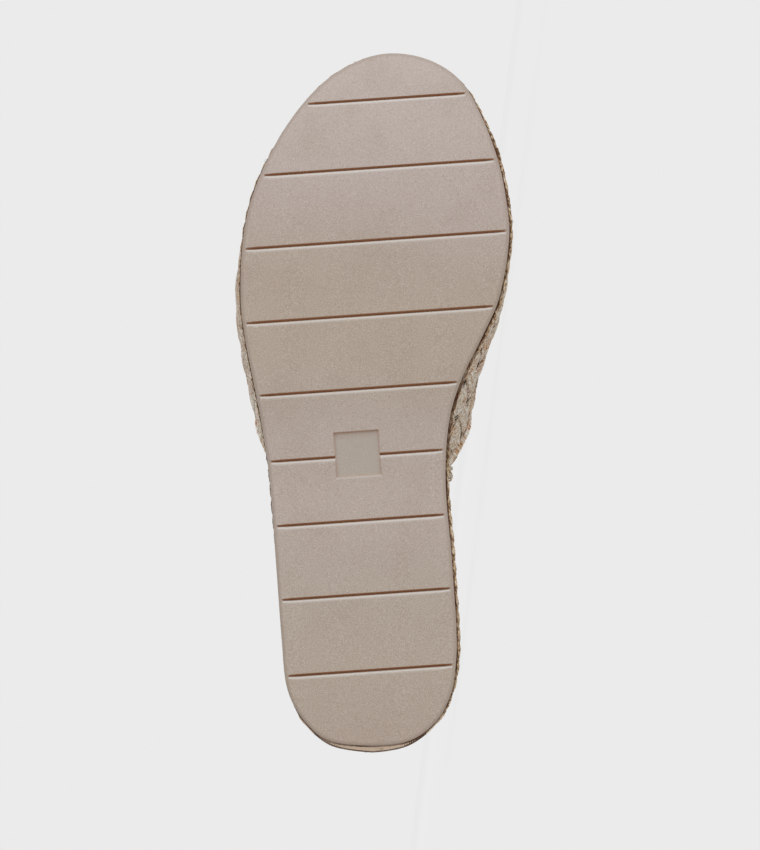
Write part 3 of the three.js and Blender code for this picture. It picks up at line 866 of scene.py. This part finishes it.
def tread_relief(across, along):
    """How deep the tread lies at each place, and how far it takes the stain of the grooves and recess
    walls with painted shade on the recess's toe-side wall, the painted highlight on a lip, the painted
    shade line in a groove, or the sunk floor's tone.
    """
    lines, start, end = across[:, 0], along[:, 0], along[:, -1]
    depth, stain_and_wall_shade, lip_highlight, shade = (np.zeros_like(along) for _ in range(4))
    for groove in grooves:
        run_in = np.interp(groove, lines, start) + GROOVE_END - EDGE_ROUND
        run_out = np.interp(groove, lines, end) - GROOVE_END + EDGE_ROUND
        to_end = np.minimum(along - run_in, run_out - along)
        taper = np.clip(to_end / GROOVE_TAPER, 0, 1)
        if abs(groove - recess_across) < RECESS_SIDE / 2:
            to_end = np.minimum(to_end, np.abs(along - recess_along) - RECESS_SIDE / 2)
        half = GROOVE_WIDTH / 2 * (0.7 + 0.22 * taper)
        here = smooth_step(to_end, -0.5, 0.2)
        to_toe = across - groove + 0.24
        away = np.where(to_toe > 0, 1.3 * to_toe, -to_toe)
        reach = np.where(to_toe > 0, half, 1.2 * half + 0.1)
        cut = here * (1 - smooth_step(away, 0.45 * half, reach))
        depth = np.maximum(depth, cut * GROOVE_DEPTH * (0.5 + 0.3 * taper))
        stain_and_wall_shade = np.maximum(stain_and_wall_shade, here * (1 - smooth_step(away, 0.75 * half, 1.15 * half)))
        shade = np.maximum(shade, here * near(to_toe, -0.36, 0.19))
        # A painted highlight on each groove's heel-side lip, which also stands a little proud of the
        # tread.
        lip_highlight = np.maximum(lip_highlight, here * near(-to_toe, 2.05 * half, 0.35))

    half_side = RECESS_SIDE / 2
    past, beside = across - recess_across, np.abs(along - recess_along)
    inside = half_side - np.maximum(np.abs(past), beside)
    depth = np.maximum(depth, RECESS_DEPTH * smooth_step(inside, -0.12, 0.42))
    # Brown stain along the recess's walls, with painted shade added on its toe-side wall and a little
    # taken off its heel-side wall.
    wall_line = smooth_step(inside, -0.15, 0.1) * (1 - smooth_step(inside, 0.3, 0.75))
    shaded_toe_wall, lit_heel_wall = (smooth_step(side, half_side - 1.2, half_side - 0.4) for side in (past, -past))
    stain_and_wall_shade = np.maximum(stain_and_wall_shade, wall_line * (0.26 + 0.36 * shaded_toe_wall - 0.06 * lit_heel_wall))
    # A painted highlight along the recess's heel-side edge.
    lip_highlight = np.maximum(lip_highlight, 0.45 * (beside < half_side) * near(-half_side - past, 0.3, 0.3))
    sunk = smooth_step(inside, 0.2, 0.6)
    return depth, {"groove": stain_and_wall_shade, "lip_highlight": lip_highlight, "shade": shade, "sunk": sunk}


def make_outsole():
    spots, normals, _ = outline_points(FINE_STEPS)
    edge = spots + normals * (shown_edge(spots) - EDGE_ROUND)[:, None]
    across, along = tread_grid(edge)
    depth, marks = tread_relief(across, along)
    plan = unskewed(across, along)
    rows, count = along.shape

    def gathered(grid):
        """A grid's numbers in one list. Its first and last rows are single places."""
        return np.concatenate([grid[0, :1], grid[1:-1].reshape(-1, *grid.shape[2:]), grid[-1, :1]])

    def number(i, j):
        return 1 + (i - 1) * count + j

    tread = gathered(np.dstack([plan, tread_lift(plan[..., 0]) + depth - 0.06 * marks["lip_highlight"]]))
    toe_end = len(tread) - 1
    faces = []
    for j in range(count - 1):
        faces.append((0, number(1, j), number(1, j + 1)))
        faces.append((toe_end, number(rows - 2, j + 1), number(rows - 2, j)))
    for i in range(1, rows - 2):
        for j in range(count - 1):
            faces.append((number(i, j), number(i + 1, j), number(i + 1, j + 1), number(i, j + 1)))

    rim = [0] + [number(i, 0) for i in range(1, rows - 1)] + [toe_end]
    rim += [number(i, count - 1) for i in range(rows - 2, 0, -1)]
    rim_plan = tread[rim, :2]
    rim_normals = normals[[int(np.argmin(((edge - spot) ** 2).sum(1))) for spot in rim_plan]]
    rim_flat = 0.4 + 0.6 * smooth_step(rim_plan[:, 0], 3, 14)
    # The edge's profile: how far out, how far up, and how strongly it is painted with shade.
    profile = [
        (EDGE_ROUND * math.sin(a), EDGE_ROUND * (1 - math.cos(a)), 1.0)
        for a in np.linspace(0, math.pi / 2, 6)[1:]
    ]
    profile += [(EDGE_ROUND, 2.6, 0.8), (EDGE_ROUND - 0.05, OUTSOLE_THICKNESS - 0.25, 0.8)]
    profile += [(EDGE_ROUND - 0.35, OUTSOLE_THICKNESS, 0.8)]
    points, edges = [tread], [np.zeros(len(tread))]
    ring = np.array(rim)
    for out, up, strength in profile:
        lift = tread_lift(rim_plan[:, 0]) + up * np.where(up < EDGE_ROUND + 0.01, rim_flat, 1.0)
        before, ring = ring, sum(map(len, points)) + np.arange(len(rim))
        points.append(np.column_stack([rim_plan + rim_normals * out, lift]))
        edges.append(np.full(len(rim), strength))
        faces += np.stack([before, ring, np.roll(ring, -1), np.roll(before, -1)], axis=1).tolist()
    for i in range(rows - 2):
        a, b, c, d = ring[i], ring[i + 1], ring[-i - 1], ring[-i]
        faces.append((a, d, c, b) if i else (a, c, b))
    beyond = np.zeros(len(rim) * len(profile))
    values = {name: np.append(gathered(grid), beyond) for name, grid in marks.items()}
    values["edge"] = np.concatenate(edges)
    mesh = mesh_from("outsole_tread", np.vstack(points), faces, values=values)
    return new_piece("outsole_tread", mesh, outsole_rubber(), ["outsole"])


class Shell:
    """Points, faces, corner places and named numbers of one mesh, gathered part by part."""

    def __init__(self):
        self.points, self.faces, self.uvs, self.values = [], [], [], {}
        self.count = 0

    def add(self, points, faces, uvs, **values):
        points = np.asarray(points, float).reshape(-1, 3)
        self.points.append(points)
        self.faces += (faces + self.count).tolist()
        self.uvs.append(uvs.reshape(-1, 2))
        for key, numbers in values.items():
            full = np.broadcast_to(np.asarray(numbers, float).reshape(-1), (len(points),))
            self.values.setdefault(key, []).append(full)
        self.count += len(points)

    def cap(self, first, rows, columns):
        """Closes both ends of a tube."""
        for start in (first, first + (rows - 1) * columns):
            self.faces.append(list(range(start, start + columns)))
            self.uvs.append(np.zeros((columns, 2)))

    def piece(self, name, material, slot, replaces=()):
        uvs = np.vstack(self.uvs)
        values = {key: np.concatenate(parts) for key, parts in self.values.items()}
        mesh = mesh_from(name, np.vstack(self.points), self.faces, uvs, values)
        return new_piece(name, mesh, material, replaces)


def corner_places(walk, left, right):
    """The UV corners of a tube's faces, from its walk and where each column begins and ends."""
    i, j = np.meshgrid(np.arange(len(walk) - 1), np.arange(len(left)), indexing="ij")
    corners = ((walk[i], left[j]), (walk[i], right[j]), (walk[i + 1], right[j]), (walk[i + 1], left[j]))
    return np.stack([np.stack(corner, -1) for corner in corners], axis=2)


def from_ends(walk, low, high):
    """Rises from 0 to 1 over a distance from either end of a walk."""
    return smooth_step(np.minimum(walk, walk[-1] - walk), low, high)


def even_path(path, step, *extra):
    """A path again with even steps, its walk, and any numbers that go with its points."""
    walk = walk_along(path)
    at = np.linspace(0, walk[-1], max(2, round(walk[-1] / step)) + 1)
    return [read_off(at, walk, path), at] + [np.interp(at, walk, numbers) for numbers in extra]


def tube(shell, path, closed, radii, turns, walk, up=(0, 0, 1), **values):
    """A tube along a path. radii and turns are tables of rows by columns: how far each point lies
    from the path, and at what angle from the path's outer side."""
    rows, columns = radii.shape
    if closed:
        along = np.roll(path, -1, axis=0) - np.roll(path, 1, axis=0)
    else:
        along = np.gradient(path, axis=0)
    along = unit(along)
    up = np.broadcast_to(np.asarray(up, float), along.shape)
    up = unit(up - (up * along).sum(1)[:, None] * along)
    out = np.cross(along, up)
    points = path[:, None] + radii[..., None] * (
        np.cos(turns)[..., None] * out[:, None] + np.sin(turns)[..., None] * up[:, None]
    )
    column = np.arange(columns)
    first = shell.count
    places = corner_places(walk, column / columns, (column + 1) / columns)
    shell.add(points, tube_faces(rows, columns), places, **values)
    if not closed:
        shell.cap(first, rows, columns)
    return first


def hair(shell, path, walk, radii, sides, **values):
    """A thin round fibre along a path, with a radius for each of its points."""
    radii, turns = np.broadcast_arrays(radii[:, None], np.arange(sides)[None] * 2 * math.pi / sides)
    tube(shell, path, False, radii, turns, walk, **values)


# Rope: three strands twisted together
ROPE_RADIUS = ROPE_PITCH / 2
PRESSED_RADIUS = ROPE_RADIUS * 1.02
STRAND_OFF = 0.33
STRAND_RADIUS = 0.67
ROPE_LAY = 18.0
ROPE_STEP = 1.2
FIRST_STEP = 0.8
AROUND_STRAND = 5
AROUND_FIRST = 12
SHADE_LINE_WIDTH = 0.55
ROPE_FIBRES = 340


def rope(shell, path, closed, row):
    """Adds one row of rope along a path, whose last column says how far the path lies past the
    outsole. Row 0 lies beside the outsole: finer, flat at the heel, and painted dark as shade next to
    it."""
    lowest = row == 0
    if closed:
        path = np.vstack([path, path[:1]])
    around = AROUND_FIRST if lowest else AROUND_STRAND
    path, walk, off = even_path(path[:, :3], FIRST_STEP if lowest else ROPE_STEP, path[:, 3])
    slips = max(1, round(3 * walk[-1] / ROPE_LAY)) if closed else 0
    lay = 3 * walk[-1] / slips if closed else ROPE_LAY
    columns = 3 * around
    within = (np.arange(columns) % around) / around * 2 * math.pi / 3 - math.pi / 3
    reach = STRAND_OFF * np.cos(within)
    reach = reach + np.sqrt(STRAND_RADIUS ** 2 - (STRAND_OFF * np.sin(within)) ** 2)
    rng = np.random.default_rng(row)
    uneven = 0.025 * rng.standard_normal((len(path), columns)) + 0.03 * np.sin(walk / 7 + row)[:, None]
    at_heel = lowest * (1 - smooth_step(path[:, 0], 4, 14))[:, None]
    flat = lowest * (0.98 * at_heel + 0.4 * (1 - at_heel))
    radii = reach[None] * (1 - flat) + 0.96 * flat
    radii = PRESSED_RADIUS * radii * (1 + uneven * (1 - 0.85 * at_heel))
    if not closed:
        radii = radii * (0.35 + 0.65 * from_ends(walk, -1.0, 6.0))[:, None]
    twist = 2 * math.pi * walk / lay + 1.7 * row
    turns = np.arange(columns)[None] * 2 * math.pi / columns + twist[:, None]
    above = np.ones_like(radii)
    if lowest:
        under, reached = radii * np.sin(turns) / PRESSED_RADIUS, radii * np.cos(turns)
        # How far out from the outsole row 0 is painted dark as shade: wider on the inner side and at the
        # heel.
        line = SHADE_LINE_WIDTH + 0.15 * (path[:, 1:2] > 0) * (1 - at_heel) + 0.3 * at_heel
        crest = np.maximum(0.96 * PRESSED_RADIUS - reached - 0.75, 4 * (under - 0.05))
        crest = crest + 9 * (1 - at_heel)
        above = np.minimum(np.maximum(off[:, None] - line + reached, 3 * (under - 0.1)), crest)
    even = np.broadcast_to(at_heel, radii.shape)
    if not closed:
        tube(shell, path, False, radii, turns, walk, above=above, even=even)
        return
    first = tube(shell, path[:-1], True, radii[:-1], turns[:-1], walk[:-1],
                 above=above[:-1], even=even[:-1])
    last = first + (len(path) - 2) * columns
    shift = around * slips
    for j in range(columns):
        ahead = (j + 1) % columns
        joined = first + (ahead + shift) % columns, first + (j + shift) % columns
        shell.faces.append([last + j, last + ahead, *joined])
        before, after = ((walk[k], j / columns, (j + 1) / columns) for k in (-2, -1))
        shell.uvs.append(np.array([before[:2], before[::2], after[::2], after[:2]]))


def rope_paths():
    """The middle line of each row of rope from the outsole up, and then of the row along the top,
    with its distance out from the tread's outline."""
    x = ring_spots[:, 0]
    base, top = wedge_base(x), wedge_top(x)
    # Where the straw bulges over on the inner side, the painted shade line beside the outsole is wider.
    in_shade = smooth_step(x, 100, 110) * (1 - smooth_step(x, 132, 146)) * (ring_spots[:, 1] > 0)
    shown_edge_and_shade = shown_edge(ring_spots) + 0.6 * in_shade
    for row in range(int(WEDGE_HEEL / ROPE_PITCH)):
        height = (row + 0.5) * ROPE_PITCH
        gap = top - ROPE_PITCH / 2 - base - height
        tucked = ROPE_RADIUS * 0.8 * np.clip(1 - gap / ROPE_PITCH, 0, 1)
        off = rope_stand - lean(height) - ROPE_RADIUS - tucked
        path = np.column_stack([moved_ring(off), base + height, off - shown_edge_and_shade])
        shown = gap > 0.3 * ROPE_PITCH
        if shown.all():
            yield path, True
        elif shown.any():
            start = int(np.where(shown & ~np.roll(shown, 1))[0][0])
            run = np.roll(shown, -start)
            yield np.roll(path, -start, axis=0)[: int(np.argmin(run))], False
    height = top - ROPE_PITCH / 2
    off = rope_stand - lean(height - base) - ROPE_RADIUS
    yield np.column_stack([moved_ring(off), height, off]), True


def make_rope():
    shell = Shell()
    for row, (path, closed) in enumerate(rope_paths()):
        rope(shell, path, closed, row)
    return shell.piece("wound_rope", jute_rope(), "wedge_rope", ["rope_wedge"])


def slab(offset, top, bottom, profile, columns, crown=None):
    """A closed plate on the sole's plan. profile runs from the flat top to the flat bottom: how far
    in, the share of the way down, and millimetres more upwards."""
    steps = 150
    spots, normals, stand = outline_points(steps)
    plan = spots + normals * (shown_stand(spots, stand) - offset)[:, None]
    rings = []
    for inset, share, more in profile:
        ring = plan - normals * inset
        level = top(plan[:, 0]) * (1 - share) + bottom(plan[:, 0]) * share + more
        rings.append(np.column_stack([ring, level]))
    count = len(plan)
    points = list(rings)
    faces = tube_faces(len(rings), count).tolist()
    for ring, dip in ((0, crown), (len(rings) - 1, None)):
        flat = rings[ring]
        first = sum(map(len, points))
        share = np.linspace(0, 1, columns + 1)[1:-1]
        outer, inner = flat[1:steps], flat[:steps:-1]
        middle = outer[:, None] * (1 - share)[None, :, None] + inner[:, None] * share[None, :, None]
        if dip:
            middle[..., 2] += dip(middle[..., 0], share[None, :])
        points.append(middle.reshape(-1, 3))

        def number(k, j):
            if k in (0, steps) or j == 0:
                return ring * count + k
            if j == columns:
                return ring * count + count - k
            return first + (k - 1) * (columns - 1) + j - 1

        for k in range(steps):
            for j in range(columns):
                corners = (number(k, j), number(k + 1, j), number(k + 1, j + 1), number(k, j + 1))
                faces.append(tuple(dict.fromkeys(corners)))
    return np.vstack(points), faces


def make_wedge_board():
    profile = [(3.2, 0, -0.2), (1.4, 0, -0.8), (0, 1, 2.0), (0.4, 1, 0)]
    points, faces = slab(ROPE_RADIUS + 0.6, wedge_top, wedge_base, profile, 12)
    return new_piece("wedge_board", mesh_from("wedge_board", points, faces), wedge_board())


def foot_print(x, across):
    """How far the insole gives under the foot: most at the heel and the ball."""
    edge = np.minimum(across, 1 - across) * 2
    return -(0.5 + swells(x, ((0.9, 34, 24), (0.6, 176, 26)))) * smooth_step(edge, 0.0, 0.9)


def make_insole():
    def under(x):
        return wedge_top(x) + CLEARANCE

    def foot_bed(x):
        return under(x) + INSOLE_THICKNESS

    turn = np.linspace(0, math.pi / 2, 6)
    profile = [(1.3 * (1 - math.sin(a)), 0, -1.3 * (1 - math.cos(a))) for a in turn]
    profile += [(0.0, 1, 0.4), (0.4, 1, 0)]
    points, faces = slab(UPPER_INSET + WALL + INSOLE_GAP, foot_bed, under, profile, 24, foot_print)
    mesh = mesh_from("insole_sock", points, faces)
    piece = new_piece("insole_sock", mesh, insole_leather(), ["insole"])


# Upper: strips of straw plaited slantwise over a lining, with a bound edge at the topline
STRIP_PITCH = 15.6
STRIP_WIDTH = 9.2
STRIP_LIFT = 0.42
STRIP_STEP = 0.85
BINDING_THICK = 1.95
BINDING_WIDE = 2.5
BINDING_LAY = 2.6
BINDING_STEP = 0.6
BINDING_AROUND = 20
STRAW_FIBRES = 700


def topline_along(face, round_it):
    """The place along the ridge where the upper begins, at a place round its section."""
    along = np.zeros_like(round_it)
    for _ in range(4):
        along = face.at_x(topline_x(face.share_round(along, round_it)))
    return along


def straw_strip(shell, face, slant, order):
    """One strip of straw as a ribbon of a few fibres, over and under those of the other slant."""
    rng = np.random.default_rng(40 + order + (100 if slant > 0 else 0))
    along = np.arange(-2.0, face.along[-1], STRIP_STEP)
    middle = slant * (order * STRIP_PITCH - along)
    sway = 0.35 * np.sin(along / 9 + rng.uniform(0, 6)) + 0.25 * np.sin(along / 4.1 + rng.uniform(0, 6))
    lift = slant * np.cos(2 * math.pi * along / STRIP_PITCH)
    at_foot = smooth_step(-middle, face.half(along) - 24, face.half(along) - 14)
    width = STRIP_WIDTH * rng.uniform(0.95, 1.05) * (1 + 0.1 * lift) * (1 + 0.15 * at_foot)
    fibres = rng.integers(4, 7)
    top = np.linspace(-1, 1, 23)
    under = np.linspace(1, -1, 5)[1:-1]
    across = np.concatenate([top, under])
    valley = np.abs(np.cos(math.pi * fibres * top / 2 + rng.uniform(-0.4, 0.4)))
    furrow = np.concatenate([smooth_step(valley, 0.45, 0.0), np.zeros(len(under))])
    crown = 0.62 * np.sqrt(np.maximum(0, 1 - np.abs(top) ** 3)) + 0.12
    rise = np.concatenate([crown, np.full(len(under), -0.42)])
    q = across[None] * width[:, None] / 2 + sway[:, None]
    a = along[:, None] + q / math.sqrt(2)
    c = middle[:, None] + slant * q / math.sqrt(2)
    begin = topline_along(face, c)
    inside = (np.abs(c) <= face.half(a)) & (a >= begin) & (a <= face.along[-1])
    some = inside.any(axis=1)
    a = np.clip(np.maximum(a, begin), 0, face.along[-1])
    low = smooth_step(-c, face.half(a) - 28, face.half(a) - 12)
    height = STRIP_LIFT * lift[:, None] * (1 - 0.6 * low) + rise[None] * (1 + 0.18 * lift[:, None])
    drift = np.sin(along[:, None] / 5.3 + 2.1 * across[None] + rng.uniform(0, 6))
    height = height - 0.17 * furrow[None] * (1 + 0.6 * drift) + 0.07 * rng.standard_normal(height.shape)
    height = np.where(rise[None] > 0, height * (1 - 0.5 * low) - 0.1 * low, height)
    points = face.spot(a, c) + face.outward(a, c) * height[..., None]
    # Painted shade at the strip's edges, where it goes under the other slant, and in the furrows between
    # fibres; less near the foot.
    fold = smooth_step(np.abs(across), 0.72, 1.0)[None] * 0.75
    fold = fold + 0.5 * smooth_step(-lift, 0.1, 1.0)[:, None]
    fold = (fold + 0.34 * furrow[None] * (0.7 + 0.6 * drift)) * (1 - 0.25 * low)
    tint = rng.uniform(0, 1)
    wide = across * STRIP_WIDTH / 2
    columns = len(across)
    edges = np.flatnonzero(np.diff(np.concatenate([[0], some.astype(int), [0]])))
    for start, end in zip(edges[::2], edges[1::2]):
        if end - start < 4:
            continue
        first = shell.count
        run = slice(start, end)
        places = corner_places(along[run] * math.sqrt(2) + order * 31.0, wide, np.roll(wide, -1))
        shell.add(points[run], tube_faces(end - start, columns), places,
                  fold=np.clip(fold[run], 0, 1), tint=tint, low=low[run])
        shell.cap(first, end - start, columns)


def make_straw(face):
    material = plaited_straw()
    reach = face.half(0) + face.along[-1]
    for name, slant, replaced in (("straw_to_inner", 1, ["upper"]), ("straw_to_outer", -1, ())):
        shell = Shell()
        for order in range(int(-reach / STRIP_PITCH), int(reach / STRIP_PITCH) + 1):
            straw_strip(shell, face, slant, order)
        shell.piece(name, material, "upper_straw", replaced)
    return material


def make_lining(face):
    inner = WallFace(UPPER_INSET + WALL, WALL)
    rows, columns = 90, 100
    share = np.linspace(0, 1, columns + 1)[None]
    level = (np.linspace(0, 1, rows + 1) ** 0.9)[:, None]
    sheets = []
    for surface, lift in ((face, -1.35), (inner, 0.0)):
        begin = surface.at_x(topline_x(share)) + 0.6
        along = begin + (surface.along[-1] - 0.4 - begin) * level
        round_it = (share - 0.5) * 2 * surface.half(along)
        spots = surface.spot(along, round_it)
        if lift:
            spots = spots + surface.outward(along, round_it) * lift
        sheets.append(spots)
    count = (rows + 1) * (columns + 1)
    number = np.arange(2 * count).reshape(2, rows + 1, columns + 1)
    sides = [(number[:, :-1, :-1], number[:, 1:, :-1], number[:, 1:, 1:], number[:, :-1, 1:])]
    for shown, shown_edge_and_shade in (number, number.transpose(0, 2, 1)):
        front, back = shown[:, [0, -1]], shown_edge_and_shade[:, [0, -1]]
        sides.append((front[:-1], front[1:], back[1:], back[:-1]))
    faces = np.concatenate([np.stack(corners, -1).reshape(-1, 4) for corners in sides])
    points = np.concatenate([sheet.reshape(-1, 3) for sheet in sheets])
    return new_piece("lining", mesh_from("lining", points, faces), lining_cloth())


def make_binding(face, material):
    """A cord of straw whipped round the upper's top edge."""
    share = np.linspace(0.0, 1.0, 500)
    along = face.at_x(topline_x(share)) + 1.6
    round_it = (share - 0.5) * 2 * face.half(along)
    out = face.outward(along, round_it)
    path = face.spot(along, round_it) - out * (WALL / 2 - 0.3)
    walk = walk_along(path)
    at = np.arange(0, walk[-1], BINDING_STEP)
    turn = np.arange(BINDING_AROUND)[None] * 2 * math.pi / BINDING_AROUND
    thick, wide = BINDING_THICK, BINDING_WIDE
    radius = thick * wide / np.sqrt((wide * np.sin(turn)) ** 2 + (thick * np.cos(turn)) ** 2)
    whip = np.cos(2 * math.pi * at[:, None] / BINDING_LAY + turn)
    ends = from_ends(at, -1.0, 3.0)[:, None]
    radii = radius * (1 + 0.035 * whip) * (0.5 + 0.5 * ends)
    # Painted shade in the grooves between the whipped turns.
    whip_shade = 0.5 * np.clip(0.5 - 0.5 * whip, 0, 1) ** 3
    shell = Shell()
    turns = np.broadcast_to(turn, radii.shape) + math.pi / 2
    path, up = read_off(at, walk, path), unit(read_off(at, walk, out))
    tube(shell, path, False, radii, turns, at, up, fold=whip_shade, tint=0.35)
    shell.piece("topline_binding", material, "upper_straw")


def thread(shell, points, radius, tint):
    """A thin round fibre through a few points."""
    path, walk = even_path(rounded_section([np.array(p, float) for p in points], 8), 0.7)
    ends = 0.45 + 0.55 * from_ends(walk, 0, 1.5)
    # Loose threads take a little of the painted fold shade.
    hair(shell, path, walk, radius * ends, 5, fold=0.15, tint=tint)


def make_loose_straw(face, material):
    """Frayed loops of straw where the binding ends at the inner side."""
    shell = Shell()
    foot = face.spot(np.array(2.0), np.array(face.half(2.0)))
    rng = np.random.default_rng(7)
    for number in range(7):
        start = foot + rng.normal(0, 0.6, 3) + (-0.6, 1.0, 0.6)
        end = start + (rng.uniform(-4.5, 2.5), rng.uniform(-1.2, 0.4), rng.uniform(-2.2, 1.0))
        bow = (rng.uniform(-1.5, 1.0), rng.uniform(1.4, 3.4), rng.uniform(-1.0, 1.6))
        middle = (start + end) / 2 + bow
        line = [start, (start + middle) / 2 + (0.5, 0.4, 0), middle, end]
        thread(shell, line, rng.uniform(0.3, 0.5), number / 8)
    for number in range(5):
        start = foot + (-2.5 - 1.1 * number, 0.9, -1.6) + rng.normal(0, 0.3, 3)
        end = start + (rng.uniform(-2.5, -1), rng.uniform(-0.4, 0.6), rng.uniform(-1.0, 0.6))
        thread(shell, [start, (start + end) / 2 + (0, 0.9, 0.2), end], 0.4, 0.9)
    shell.piece("frayed_straw", material, "upper_straw")


def make_straw_fibres(face, material):
    """Single fibres that have come loose and lie on the strips."""
    shell = Shell()
    rng = np.random.default_rng(23)
    t = np.linspace(-0.5, 0.5, 8)
    while shell.count < STRAW_FIBRES * 5 * len(t):
        along = rng.uniform(2, face.along[-1] - 6)
        half = float(face.half(along))
        round_it = rng.uniform(-half, half)
        angle = rng.choice([-1.0, 1.0]) * (math.pi / 4) + rng.normal(0, 0.16)
        length = rng.uniform(4, 11)
        a = along + length * t * math.cos(angle)
        c = round_it + length * t * math.sin(angle) + rng.uniform(0.3, 1.2) * np.cos(math.pi * t)
        if (a < topline_along(face, c) + 1.5).any() or (np.abs(c) > face.half(a) - 0.6).any():
            continue
        if a[-1] > face.along[-1] - 2 or c.min() < 26 - half:
            continue
        lie = STRIP_LIFT * np.abs(np.cos(math.pi * 2 * a / STRIP_PITCH)) + 0.62
        height = lie + 0.25 * np.cos(math.pi * t) - 0.35
        path = face.spot(a, c) + face.outward(a, c) * height[:, None]
        radii = rng.uniform(0.1, 0.2) * (1 - 0.6 * (2 * t) ** 4)
        # About a third of the fibres take the dark tone of the fold shade.
        fold, tint = rng.choice([0.0, 0.0, 0.5]), rng.uniform(0, 1)
        hair(shell, path, walk_along(path), radii, 5, fold=fold, tint=tint)
    shell.piece("straw_fibres", material, "upper_straw")


def make_fuzz(material):
    """Short fibres that stand off the rope."""
    shell = Shell()
    rng = np.random.default_rng(11)
    paths = [path[:, :3] for path, _ in rope_paths()]
    lengths = np.array([len(path) for path in paths], float)
    up = np.array((0, 0, 1))
    for _ in range(ROPE_FIBRES):
        path = paths[rng.choice(len(paths), p=lengths / lengths.sum())]
        k = int(rng.integers(2, len(path) - 3))
        ahead = unit(path[k + 1] - path[k - 1])
        turn = rng.uniform(-1.1, 1.1)
        away = np.cross(ahead, up) * math.cos(turn) + up * math.sin(turn)
        start = path[k] + away * ROPE_RADIUS * 0.8
        side = ahead * rng.uniform(-1, 1) + up * rng.uniform(-0.5, 0.5)
        length = rng.uniform(0.8, 2.2)
        middle = start + away * length * 0.45 + side * length * 0.5
        end = middle + away * length * rng.uniform(-0.1, 0.3) + side * length * 0.7
        line = np.array([start, (start + middle) / 2 + away * 0.1, middle, end])
        hair(shell, line, walk_along(line), np.array([0.08, 0.07, 0.06, 0.03]), 3, above=1, even=0)
    shell.piece("rope_fibres", material, "wedge_rope")


bpy.ops.object.select_all(action="DESELECT")
bpy.context.scene.view_settings.view_transform = "Standard"
add_camera()
add_studio()
make_outsole()
wound_rope = make_rope()
make_wedge_board()
make_fuzz(wound_rope.active_material)
make_insole()
outer_face = WallFace(UPPER_INSET, 0)
straw = make_straw(outer_face)
make_lining(outer_face)
make_binding(outer_face, straw)
make_loose_straw(outer_face, straw)
make_straw_fibres(outer_face, straw)
